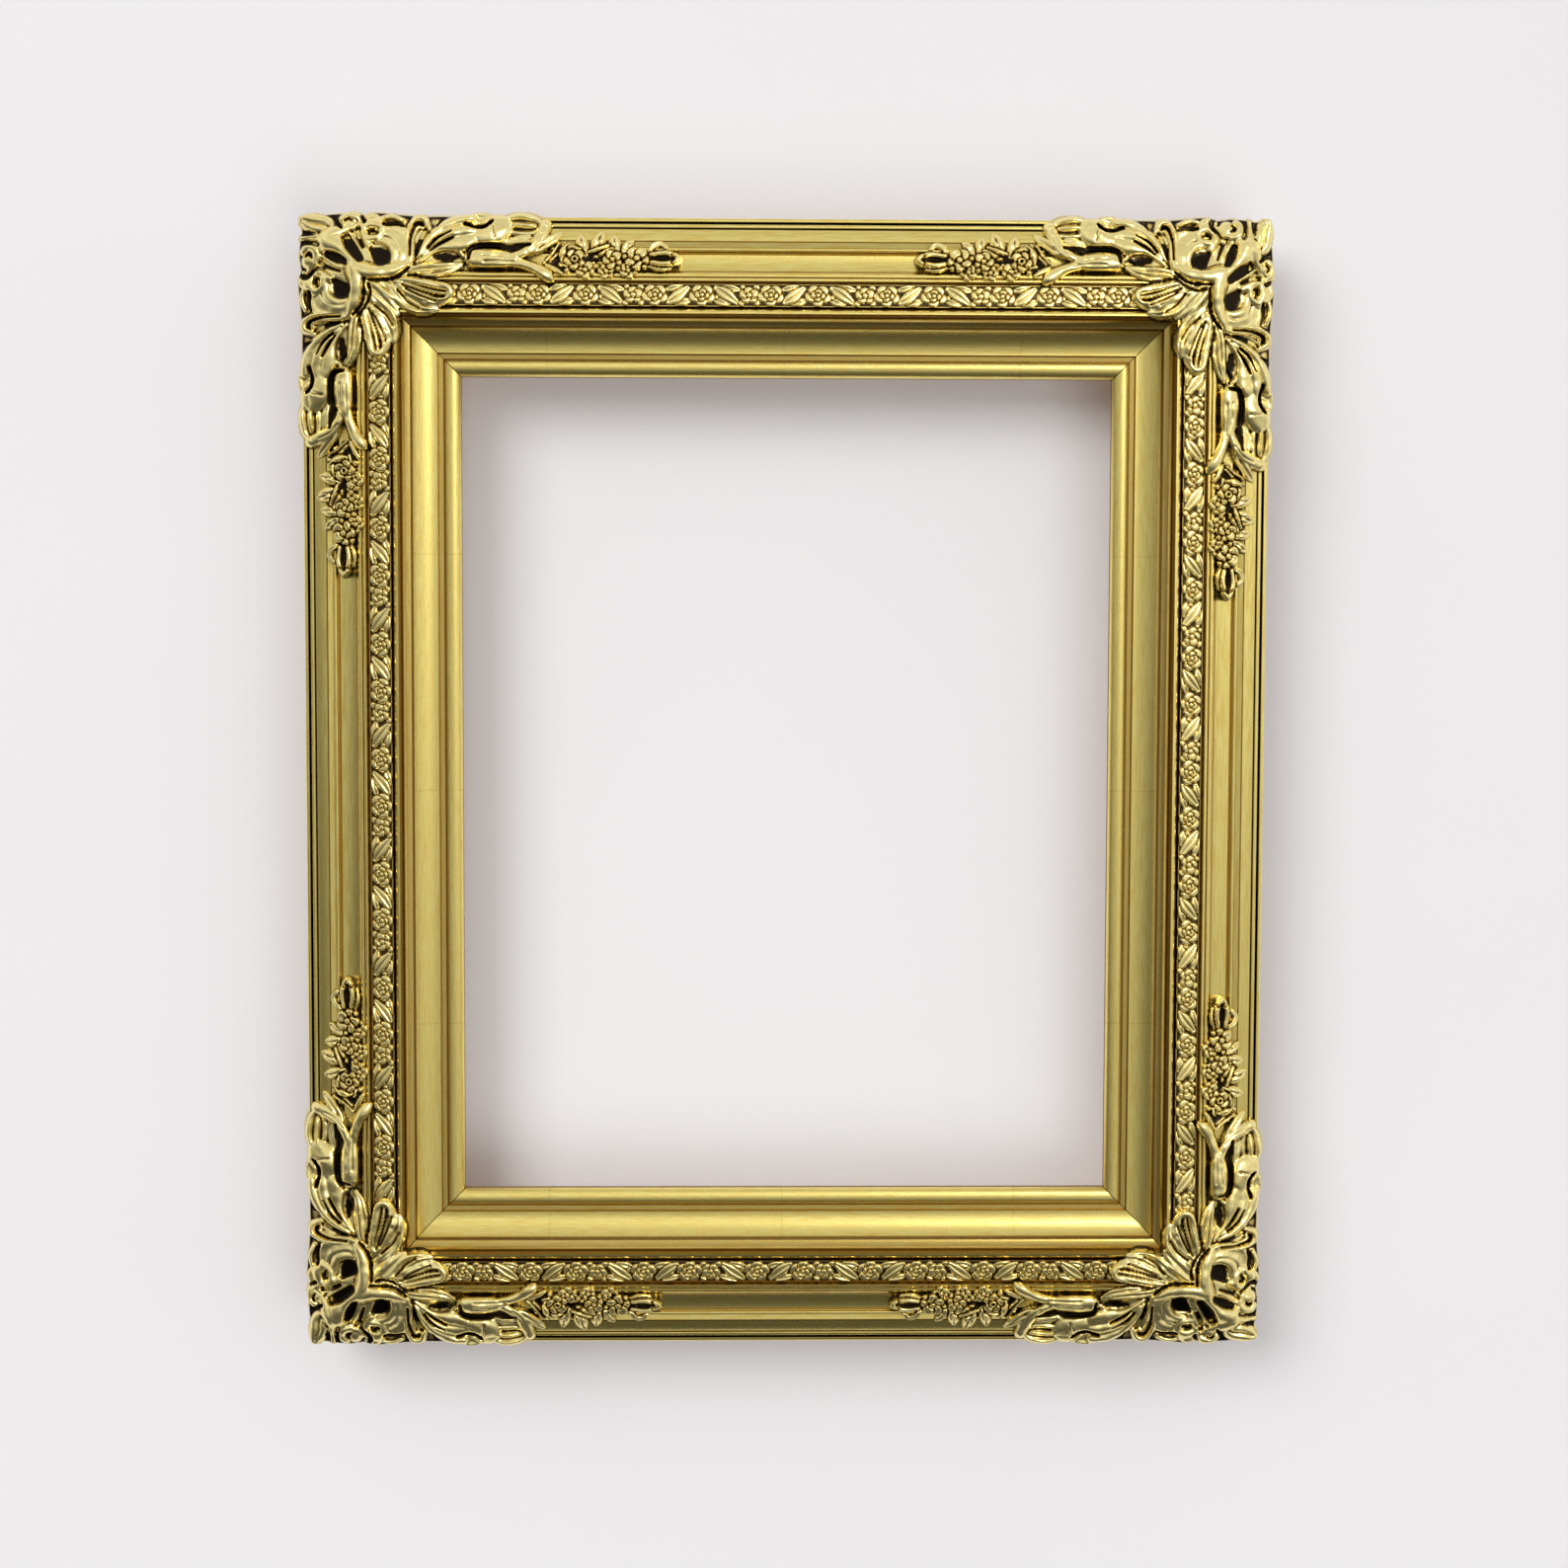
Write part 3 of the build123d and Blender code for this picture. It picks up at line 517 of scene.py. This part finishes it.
# Middle, petals, their reach, radius and rise, turn, radius of the heart
spray_blossoms = [(20.8, 33.6, 5, 3.2, 2.9, 4.2, 0.2, 1.5), (33.4, 34.2, 5, 2.8, 2.6, 4, 0.6, 1.4),
                  (46.6, 33.8, 5, 3.0, 2.7, 4.2, 0.1, 1.4), (14.6, 27, 5, 3.6, 3.1, 5, 0.35, 2.2),
                  (37, 27, 5, 3.3, 2.9, 5, 0.45, 1.5), (51.6, 26.2, 5, 4.1, 3.6, 5.4, 0.25, 1.9)]
spray_knobs = [(10.2, 34, 1.9, 3.6), (27.4, 31.2, 1.8, 4), (40.4, 32.6, 1.7, 4), (27.2, 26.2, 2.2, 4.6),
               (44.2, 25.2, 1.8, 4.4), (56.2, 31.6, 1.9, 4)]
spray_rings = [(14.6, 27, 1.6, 1.5, 6)]
spray_grooves = [[(20, 27.4, 1.8, 5), (30, 27.2, 2, 5)]]


def spray_relief():
    relief = Relief((-8, 6), (84, 43), step=0.5)
    relief.stroke(spray_ground)
    for shape, path in spray_forms:
        relief.stroke(path, shape, spray_fullness, small_crease)
    for place in spray_blossoms:
        relief.blossom(*place, shape=petal)
    for place in spray_knobs:
        relief.knob(*place, dome, small_crease)
    for place in spray_rings:
        relief.ring(*place)
    for path in spray_grooves:
        relief.carve(path)
    relief.height = relief.blurred(relief.height, radius=0.3)
    return relief


# Rose band; across is counted from the band's middle. Two roses, a rosebud and leaves make the motif.
band_half = 6.6
band_ground = 0.3
motif_leaves = [
    [(-6.4, -3.4, 2.8, 1.6), (-2.6, -4.3, 4.4, 2.2), (1.4, -5.2, 2.6, 1.6)],
    [(-1.2, 5.2, 2.6, 1.6), (2.8, 4.3, 4.4, 2.2), (6.4, 3.2, 2.8, 1.6)],
    [(-6.0, 4.4, 3.0, 1.6), (-0.8, 0.9, 6.4, 2.4), (5.2, -4.2, 3.2, 1.7)],
    [(27.0, -5.2, 2.6, 1.6), (31.2, -4.3, 4.6, 2.2), (35.4, -3.2, 2.8, 1.6)],
    [(21.6, 3.0, 2.8, 1.6), (25.4, 4.3, 4.6, 2.2), (29.4, 5.2, 2.6, 1.6)],
    [(22.4, -4.4, 3.0, 1.6), (28.2, -0.6, 6.6, 2.4), (34.6, 4.4, 3.2, 1.7)],
]
motif_buds = [(37.4, 5.0, 1.9, 2.0), (46.4, -4.7, 2.1, 2.0), (46.6, 4.5, 2.1, 2.0), (38.2, -5.0, 1.6, 1.9),
              (22.4, 1.3, 1.5, 1.8), (47.4, 0.0, 1.7, 1.9)]
motif_roses = [-14.0, 14.0]
motif_pitch = 2 * rose_pitch
# Petals, their reach, radius and rise, turn, radius of the heart: for the rings of a rose, and for a rosebud
rose_rings = [(5, 4.5, 3.6, 2.1, 0.3, 2.0), (4, 2.3, 2.2, 2.6, 0.1, 1.4)]
rosebud = (5, 3.3, 2.8, 2.2, 0.7, 1.7)
rosebud_place = 42.0
rose_flatness = 0.8


def band_relief(length):
    """The roses, leaves and buds of a strip, repeated about its middle."""
    relief = Relief((-length / 2, -band_half), (length / 2, band_half), step=0.35)
    relief.height[:] = band_ground
    count = int(length / motif_pitch) + 3
    for number in range(count):
        middle = (number - count // 2) * motif_pitch
        for path in motif_leaves:
            placed = [(middle + along, *rest) for along, *rest in path]
            relief.stroke(placed, vein, band_fullness, band_crease)
        for along, *place in motif_buds:
            relief.knob(middle + along, *place, pillow, band_crease)
        relief.blossom(middle + rosebud_place, 0, *rosebud, rose_flatness, pillow, band_crease)
        for along in motif_roses:
            for ring in rose_rings:
                relief.blossom(middle + along, 0, *ring, rose_flatness, pillow, band_crease)
    # The band's hollows take less wash and painted shade.
    relief.most_wash_and_shade = 0.76
    edge = np.maximum(np.abs(relief.across) - band_half + relief.step, 0)
    relief.height -= edge * 2
    return relief


# Meshes

def turned(points, quarter_turns):
    """Turn points of the top side about Y to another side."""
    x, y, z = points
    return [(x, y, z), (z, y, -x), (-x, y, -z), (-z, y, x)][quarter_turns]


def gilded_piece(name, points, faces, wash_and_shade, material):
    """A smooth mesh with its wash and painted shade kept at each point."""
    mesh = bpy.data.meshes.new(name)
    mesh.from_pydata(points, [], faces)
    mesh.polygons.foreach_set("use_smooth", np.ones(len(mesh.polygons), bool))
    kept = mesh.attributes.new("wash_and_shade", "FLOAT", "POINT")
    kept.data.foreach_set("value", wash_and_shade.astype(np.float32))
    mesh.materials.append(material)
    piece = bpy.data.objects.new(name, mesh)
    bpy.context.collection.objects.link(piece)
    return piece


def dress(piece, node):
    """Show a piece in place of a node of the frame."""
    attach(piece, "frame")
    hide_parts(node)


def relief_piece(name, relief, side, to_side, base, material):
    """The raised part of a relief, laid on a side."""
    side_name, quarter_turns, length, edge = side
    along, across = np.meshgrid(relief.along, relief.across, indexing="ij")
    along, across = to_side(along, across)
    height = base(along, across) + relief.height
    points = turned((along - length / 2, -height, edge - across), quarter_turns)
    points = np.stack(points, axis=-1).reshape(-1, 3) * metre
    index = np.arange(along.size).reshape(along.shape)
    corners = np.stack([index[:-1, :-1], index[1:, :-1], index[1:, 1:], index[:-1, 1:]], axis=-1)
    tops = np.maximum.reduce([relief.height[:-1, :-1], relief.height[1:, :-1],
                              relief.height[1:, 1:], relief.height[:-1, 1:]])
    quads = corners[tops > -0.9 * skirt].reshape(-1, 4)
    if np.linalg.det(np.stack([points[index[1, 0]] - points[index[0, 0]],
                               points[index[0, 1]] - points[index[0, 0]], (0, -1, 0)])) < 0:
        quads = quads[:, ::-1]
    used, quads = np.unique(quads, return_inverse=True)
    # Each point keeps the relief's wash and painted shade.
    wash_and_shade = relief.wash_and_shade().reshape(-1)[used]
    return gilded_piece(name, points[used].tolist(), quads.reshape(-1, 4).tolist(), wash_and_shade, material)


# Materials

class Nodes:
    """A material's node tree, with short ways to add and join nodes."""

    def __init__(self, name):
        self.material = bpy.data.materials.new(name)
        self.material.use_nodes = True
        self.tree = self.material.node_tree
        self.shader = self.tree.nodes["Principled BSDF"]

    def fill(self, socket, value):
        if isinstance(value, bpy.types.NodeSocket):
            self.tree.links.new(value, socket)
        else:
            socket.default_value = value

    def add(self, kind, inputs, **settings):
        """A node with its inputs filled from values or from other nodes' outputs, by name or number."""
        node = self.tree.nodes.new("ShaderNode" + kind)
        for key, value in settings.items():
            setattr(node, key, value)
        for key, value in inputs.items():
            self.fill(node.inputs[key], value)
        return node

    def math(self, operation, *values):
        return self.add("Math", dict(enumerate(values)), operation=operation).outputs[0]

    def noise(self, scale, detail=4.0, vector=None):
        inputs = {"Scale": scale, "Detail": detail}
        if vector is not None:
            inputs["Vector"] = vector
        return self.add("TexNoise", inputs).outputs[0]

    def between(self, value, low, high, to_low=0.0, to_high=1.0):
        inputs = {"Value": value, "From Min": low, "From Max": high, "To Min": to_low, "To Max": to_high}
        return self.add("MapRange", inputs, interpolation_type="SMOOTHSTEP").outputs[0]

    def mix(self, share, first, second):
        node = self.add("Mix", {"Factor": share}, data_type="RGBA")
        self.fill(node.inputs[6], first)
        self.fill(node.inputs[7], second)
        return node.outputs[2]

    def position(self):
        """The three parts of the object coordinates, in metres."""
        vector = self.add("TexCoord", {}).outputs["Object"]
        return self.add("SeparateXYZ", {0: vector}).outputs

    def distances(self):
        """Distances in metres: inward from the frame's outer edge, from the mitre, and along the side."""
        x, y, z = self.position()
        from_side = self.math("SUBTRACT", outer_width / 2 * metre, self.math("ABSOLUTE", x))
        from_top = self.math("SUBTRACT", outer_height / 2 * metre, self.math("ABSOLUTE", z))
        mitre = self.math("ABSOLUTE", self.math("SUBTRACT", from_side, from_top))
        upright = self.math("LESS_THAN", from_side, from_top)
        along = self.math("ADD", x, self.math("MULTIPLY", upright, self.math("SUBTRACT", z, x)))
        return self.math("MINIMUM", from_side, from_top), mitre, along

    # The wash and painted shade kept at each point of a gilded piece.
    def wash_and_shade(self):
        return self.add("Attribute", {}, attribute_name="wash_and_shade").outputs["Fac"]

    def bump(self, height, strength, distance):
        inputs = {"Height": height, "Strength": strength, "Distance": distance}
        return self.add("Bump", inputs).outputs[0]

    def use(self, **inputs):
        """Fill the shader's sockets; an underscore stands for a space."""
        for key, value in inputs.items():
            self.fill(self.shader.inputs[key.replace("_", " ")], value)
        return self.material


def colour(red, green, blue):
    """A colour from its screen values, 0 to 255."""
    linear = [((c / 255 + 0.055) / 1.055) ** 2.4 if c > 10 else c / 255 / 12.92 for c in (red, green, blue)]
    return (*linear, 1.0)


pale_gold = colour(253, 238, 168)
antique_gold = colour(249, 225, 140)
bright_gold = colour(250, 231, 140)
deep_gold = colour(234, 206, 112)
bole = colour(154, 104, 16)
# Glossy dark wash, also the colour of painted shade in the gilding's hollows and creases, and of dark mitre
# joints in bare wood.
dark_wash_and_shade = colour(36, 27, 14)
raw_wood = colour(182, 148, 106)
wood_vein = colour(148, 112, 74)
side_paint = colour(92, 70, 36)


def bare_wood(nodes):
    """How far a moulding's face turns to the wall or sideways, and its tone: raw wood or painted sides."""
    x, y, z = nodes.position()
    facing = nodes.add("SeparateXYZ", {0: nodes.add("NewGeometry", {}).outputs["True Normal"]}).outputs[1]
    across, mitre, along = nodes.distances()
    rings = nodes.add("CombineXYZ", {0: nodes.math("MULTIPLY", across, 420.0),
                                     1: nodes.math("MULTIPLY", nodes.math("ADD", x, z), 9.0)}).outputs[0]
    grain = nodes.between(nodes.noise(1.0, 6.0, rings), 0.35, 0.65)
    wood = nodes.mix(grain, raw_wood, wood_vein)
    wood = nodes.mix(nodes.between(mitre, 0.0001, 0.0006, 0.8, 0.0), wood, dark_wash_and_shade)
    paint = nodes.mix(nodes.between(nodes.noise(90.0, 5.0), 0.4, 0.7), side_paint, bole)
    return nodes.between(facing, -0.12, -0.04), nodes.mix(nodes.between(facing, 0.4, 0.6), paint, wood)


def gilding(nodes, tones, wash_and_shade, roughness, with_wood=False):
    """Worn gold that turns to bole and then to a glossy dark wash as the wash and painted shade rise."""
    cloud = nodes.between(nodes.noise(45.0, 3.0), 0.35, 0.7)
    fine = nodes.noise(700.0, 3.0)
    gold = nodes.mix(cloud, *tones)
    # Wash and painted shade, with a little random wear, bring in bole and then the dark wash.
    wear_and_shade = nodes.math("ADD", wash_and_shade, nodes.math("MULTIPLY", nodes.math("SUBTRACT", fine, 0.5), 0.25))
    rubbed_and_shaded = nodes.between(wear_and_shade, 0.12, 0.6)
    dark = nodes.between(wear_and_shade, 0.45, 0.85)
    tone = nodes.mix(nodes.math("MULTIPLY", rubbed_and_shaded, 0.75), gold, bole)
    tone = nodes.mix(dark, tone, dark_wash_and_shade)
    metal = 1.0
    rough = nodes.between(cloud, 0.0, 1.0, roughness - 0.03, roughness + 0.03)
    rough = nodes.math("SUBTRACT", rough, nodes.math("MULTIPLY", dark, 0.12))
    if with_wood:
        bare, wood = bare_wood(nodes)
        tone = nodes.mix(bare, tone, wood)
        metal = nodes.math("SUBTRACT", 1.0, bare)
        rough = nodes.math("ADD", rough, nodes.math("MULTIPLY", bare, 0.3))
    return nodes.use(Base_Color=tone, Metallic=metal, Roughness=rough)


def casting_material():
    nodes = Nodes("gilded casting")
    nodes.use(Coat_Weight=0.12, Coat_Roughness=0.15)
    return gilding(nodes, (pale_gold, antique_gold), nodes.wash_and_shade(), 0.28)


def moulding_material(name, roughness, joint_depth, lap_depth):
    """Gold over wood, with dark mitres and faint lines where one square of leaf laps over the next."""
    nodes = Nodes(name)
    across, mitre, along = nodes.distances()
    joint = nodes.between(mitre, 0.0002, 0.0007, joint_depth, 0.0)
    uneven = nodes.math("MULTIPLY", nodes.noise(60.0, 4.0), 0.004)
    squares = nodes.math("DIVIDE", nodes.math("ADD", along, uneven), leaf_square * metre)
    apart = nodes.math("PINGPONG", squares, 0.5)
    lap = nodes.between(apart, 0.001, 0.005, lap_depth, 0.0)
    # Wash and painted shade of the grooves, with the leaf laps and dark mitres.
    wash_and_shade = nodes.math("MAXIMUM", nodes.math("MAXIMUM", nodes.wash_and_shade(), lap), joint)
    return gilding(nodes, (bright_gold, deep_gold), wash_and_shade, roughness, True)


def steel_material():
    nodes = Nodes("zinc plated steel")
    spangle = nodes.noise(700.0, 3.0)
    tone = nodes.mix(spangle, colour(176, 176, 170), colour(206, 206, 200))
    rough = nodes.between(spangle, 0.3, 0.7, 0.28, 0.42)
    bump = nodes.bump(nodes.noise(2500.0, 2.0), 0.12, 0.0002)
    return nodes.use(Base_Color=tone, Metallic=1.0, Roughness=rough, Normal=bump)


def rubber_material():
    nodes = Nodes("black rubber")
    grain = nodes.noise(1800.0, 3.0)
    tone = nodes.mix(grain, colour(26, 26, 26), colour(44, 43, 42))
    return nodes.use(Base_Color=tone, Roughness=0.75, Normal=nodes.bump(grain, 0.2, 0.0002))


casting_gold = casting_material()
node_materials = {
    "gilded_moulding": moulding_material("gilded moulding", 0.25, 0.8, 0.0),
    "gold_leaf_liner": moulding_material("gold leaf liner", 0.3, 0.7, 0.3),
    "gilded_casting": casting_gold,
    "steel": steel_material(),
    "rubber": rubber_material(),
}
for row in frame["record"]["subparts"]:
    mesh = frame["nodes"][row["node"]].data
    mesh.materials.clear()
    mesh.materials.append(node_materials[row["material_slot"]])


# Mouldings, drawn again with smooth members

# First and last member of each dark line of wash and painted shade, and its strength
rail_lines = [
    ("lip groove", "lip groove rise", 0.8),
    ("bead groove", "bead groove rise", 0.75),
    ("outer quirk", "outer quirk", 0.5),
    ("quirk rise", "quirk rise", 0.5),
    ("inner quirk", "inner quirk", 0.5),
    ("hollow step", "hollow step", 0.5),
    ("twin groove", "twin groove", 0.5),
    ("rose groove", "rose groove rise", 0.6),
    ("inner groove", "inner groove rise", 0.62),
    ("inner fall", "inner step", 0.62),
    ("cavetto", "cavetto", 0.4),
    ("quirk floor", "quirk floor", 0.22),
]
liner_lines = [
    ("lip shadow", "lip shadow", 0.65),
    ("fillet", "fillet", 0.45),
    ("fillet floor", "fillet floor", 0.4),
    ("fillet rise", "fillet rise", 0.6),
]
line_fade = 0.7


def member_points(first, last, bulge):
    """Points along a member of a moulding, on its arc or its straight line."""
    first, last = np.array(first), np.array(last)
    chord = np.linalg.norm(last - first)
    share = np.linspace(-1, 1, max(2, math.ceil(chord / 0.4) + 1))[:, None]
    along = (last - first) / 2
    normal = np.array((-along[1], along[0])) / (chord / 2)
    middle = (first + last) / 2
    if not bulge:
        return middle + along * share
    half = 2 * math.atan(2 * abs(bulge) / chord)
    radius = chord / 2 / math.sin(half)
    lift = math.copysign(1, bulge) * radius * (np.cos(half * share) - math.cos(half))
    return middle + along / (chord / 2) * radius * np.sin(half * share) + normal * lift


def groove_wash_and_shade(across, places, lines):
    """Dark wash and painted shade in the grooves and shaded faces of a moulding, fading beside them."""
    wash_and_shade = np.zeros(len(across))
    for first, last, strength in lines:
        low, high = places[first][0][0], places[last][1][0]
        apart = np.maximum(np.maximum(low - across, across - high), 0)
        wash_and_shade = np.maximum(wash_and_shade, strength * (1 - smoothstep(0, line_fade, apart)))
    return wash_and_shade


def moulding_piece(name, side, places, lines, back, material):
    """A mitred moulding: its members in front and straight faces through the points of its back."""
    side_name, quarter_turns, length, edge = side
    strips = [member_points(*member) for member in places.values()]
    here = strips[-1][-1]
    for there in back + [tuple(strips[0][0])]:
        strips.append(np.array([here, there]))
        here = there
    vertices, faces, washes_and_shades = [], [], []
    for strip in strips:
        across, height = strip.T
        start = len(vertices)
        for end in (across, length - across):
            x, y, z = turned((end - length / 2, -height, edge - across), quarter_turns)
            vertices += (np.stack([x, y, z], axis=-1) * metre).tolist()
        count = len(strip)
        for number in range(start, start + count - 1):
            faces.append((number, number + 1, number + 1 + count, number + count))
        # Each point keeps the wash and painted shade of its grooves.
        washes_and_shades += [groove_wash_and_shade(across, places, lines)] * 2
    return gilded_piece(name, vertices, faces, np.concatenate(washes_and_shades), material)


rail_rebate = rail_end[0] - rail_lip_width
liner_outer = rail_rebate + liner_play
rebate_wall = liner_end[0] - shelf_width
rail_back = [(rail_end[0], lip_underside), (rail_rebate, lip_underside), (rail_rebate, nail_stand),
             (0.0, nail_stand)]
liner_floor = liner_back + nail_stand
liner_rear = [(liner_end[0], shelf_height), (rebate_wall, shelf_height), (rebate_wall, liner_floor),
              (liner_outer, liner_floor), (liner_outer, lip_underside)]
mouldings = [
    ("rail", "gilded_moulding", rail_places, rail_lines, rail_back),
    ("liner", "gold_leaf_liner", liner_places, liner_lines, liner_rear),
]
for side in sides:
    for kind, slot, places, lines, back in mouldings:
        node = side[0] + "_" + kind
        piece = moulding_piece(node + "_moulding", side, places, lines, back, node_materials[slot])
        dress(piece, node)


# Ornament pieces

def same(along, across):
    return along, across


corner_names = ["top_left", "top_right", "bottom_right", "bottom_left"]
spray_names = [("top_left", "top_right"), ("right_upper", "right_lower"),
               ("bottom_right", "bottom_left"), ("left_lower", "left_upper")]
corner = corner_relief()
spray = spray_relief()
band_middle = (rail_places["rose bed"][0][0] + rail_places["rose bed"][1][0]) / 2
for number, side in enumerate(sides):
    side_name, quarter_turns, length, edge = side
    node = "corner_ornament_" + corner_names[number]
    piece = relief_piece(node + "_relief", corner, side, same, corner_bed, casting_gold)
    dress(piece, node)
    for at_end, spray_name in enumerate(spray_names[number]):
        def spray_place(offset, across, at_end=at_end, length=length):
            if at_end:
                return length - spray_start * short_arm_ratio - offset, across
            return spray_start + offset, across
        node = "flower_spray_" + spray_name
        piece = relief_piece(node + "_relief", spray, side, spray_place, side_bed, casting_gold)
        dress(piece, node)
    first = band_start
    last = length - band_start * short_arm_ratio
    strip = band_relief(last - first)

    def band_place(offset, across, middle=(first + last) / 2):
        return middle + offset, band_middle + across
    node = side_name + "_rose_band"
    piece = relief_piece(node + "_relief", strip, side, band_place, rose_bed, casting_gold)
    dress(piece, node)


# Wall, floor, light and camera
wall_gap = 0.03
floor_level = -3.0
room = 5.0


def plane(name, corners, material):
    mesh = bpy.data.meshes.new(name)
    mesh.from_pydata(corners, [], [list(range(len(corners)))])
    mesh.materials.append(material)
    piece = bpy.data.objects.new(name, mesh)
    bpy.context.collection.objects.link(piece)


def plaster(name, tone, see_through_back):
    """Pale matte plaster. A see-through back clears the view from behind and lets all light through."""
    nodes = Nodes(name)
    grain = nodes.noise(40.0, 6.0)
    nodes.use(Base_Color=nodes.mix(grain, colour(*tone), colour(*(part - 3 for part in tone))), Roughness=0.9)
    nodes.shader.inputs["Specular IOR Level"].default_value = 0.1
    if see_through_back:
        behind = nodes.add("NewGeometry", {}).outputs["Backfacing"]
        shadow = nodes.add("LightPath", {}).outputs["Is Shadow Ray"]
        clear = nodes.add("BsdfTransparent", {}).outputs[0]
        inputs = {0: nodes.math("MAXIMUM", behind, shadow), 1: nodes.shader.outputs[0], 2: clear}
        shader = nodes.add("MixShader", inputs).outputs[0]
        nodes.tree.links.new(shader, nodes.tree.nodes["Material Output"].inputs["Surface"])
    return nodes.material


wall_plaster = plaster("pale wall", (238, 236, 237), True)
plane("wall", [(-room, wall_gap, floor_level), (room, wall_gap, floor_level),
               (room, wall_gap, room), (-room, wall_gap, room)], wall_plaster)
floor_plaster = plaster("pale floor", (226, 224, 225), False)
plane("floor", [(-room, 0.0, floor_level), (room, 0.0, floor_level),
                (room, room, floor_level), (-room, room, floor_level)], floor_plaster)


def area_light(name, place, target, size, spread, power, unseen_by=()):
    """A soft lamp; what it is unseen by, such as glossy rays, it doesn't light."""
    lamp = bpy.data.lights.new(name, "AREA")
    lamp.size = size
    lamp.energy = power
    lamp.spread = math.radians(spread)
    holder = bpy.data.objects.new(name, lamp)
    holder.location = place
    holder.rotation_euler = (Vector(target) - Vector(place)).to_track_quat("-Z", "Y").to_euler()
    for kind in ("camera", *unseen_by):
        setattr(holder, "visible_" + kind, False)
    bpy.context.collection.objects.link(holder)


# The key light models the wall and its shadows, the fill light softens them, the front light puts glints on
# the gold, and the back light is for views of the back.
area_light("key light", (-4.2, -6.5, 3.6), (0.5, 0, -0.4), 5.0, 100, 114.0, ["glossy"])
area_light("fill light", (1.4, -4.2, -2.4), (0, 0, 0), 3.6, 100, 22.0, ["glossy"])
area_light("front light", (1.4, -2.6, 1.5), (0, 0, 0), 1.2, 60, 5.0, ["diffuse"])
area_light("back light", (0.9, 2.6, 0.4), (0, 0, 0), 1.4, 50, 2.5)


# The way that the room's light is measured along, and its level from the far side (0) to the near side (1)
light_direction = Vector((0.28, -0.2, 0.94))
room_light = [(0.0, 0.07), (0.2, 0.1), (0.34, 0.15), (0.4, 0.28), (0.44, 0.43), (0.6, 0.52), (0.65, 0.7),
              (0.69, 0.98), (0.8, 0.8), (1.0, 0.64)]


def studio_world():
    """A soft room: dim below, middling in front, and brightest between there and overhead."""
    world = bpy.data.worlds.new("studio")
    bpy.context.scene.world = world
    world.use_nodes = True
    tree = world.node_tree
    towards = tree.nodes.new("ShaderNodeVectorMath")
    towards.operation = "DOT_PRODUCT"
    towards.inputs[1].default_value = light_direction
    tree.links.new(tree.nodes.new("ShaderNodeTexCoord").outputs["Generated"], towards.inputs[0])
    share = tree.nodes.new("ShaderNodeMapRange")
    share.inputs["From Min"].default_value = -1.0
    tree.links.new(towards.outputs["Value"], share.inputs["Value"])
    ramp = tree.nodes.new("ShaderNodeValToRGB")
    tree.links.new(share.outputs[0], ramp.inputs[0])
    stops = ramp.color_ramp.elements
    for number, (place, level) in enumerate(room_light):
        stop = stops[number] if number < len(stops) else stops.new(place)
        stop.position = place
        stop.color = (level, level, level, 1)
    tree.links.new(ramp.outputs[0], tree.nodes["Background"].inputs["Color"])


studio_world()

# Camera, fitted to the edges of the frame in the photograph
camera_place = Vector((-0.0304, -1.5, 0.0915))
camera_yaw = math.radians(1.122)
camera_pitch = math.radians(-3.463)
camera_roll = math.radians(0.164)
camera_lens = 55.73

look = Vector((math.sin(camera_yaw) * math.cos(camera_pitch), math.cos(camera_yaw) * math.cos(camera_pitch),
               math.sin(camera_pitch)))
level = Vector((math.cos(camera_yaw), -math.sin(camera_yaw), 0.0))
upright = level.cross(look)
right = level * math.cos(camera_roll) + upright * math.sin(camera_roll)
up = upright * math.cos(camera_roll) - level * math.sin(camera_roll)
lens = bpy.data.cameras.new("camera")
lens.lens = camera_lens
lens.sensor_width = 36.0
lens.sensor_fit = "HORIZONTAL"
camera = bpy.data.objects.new("camera", lens)
camera.matrix_world = Matrix.Translation(camera_place) @ Matrix((right, up, -look)).transposed().to_4x4()
bpy.context.collection.objects.link(camera)
bpy.context.scene.camera = camera
bpy.context.scene.view_settings.view_transform = "Standard"
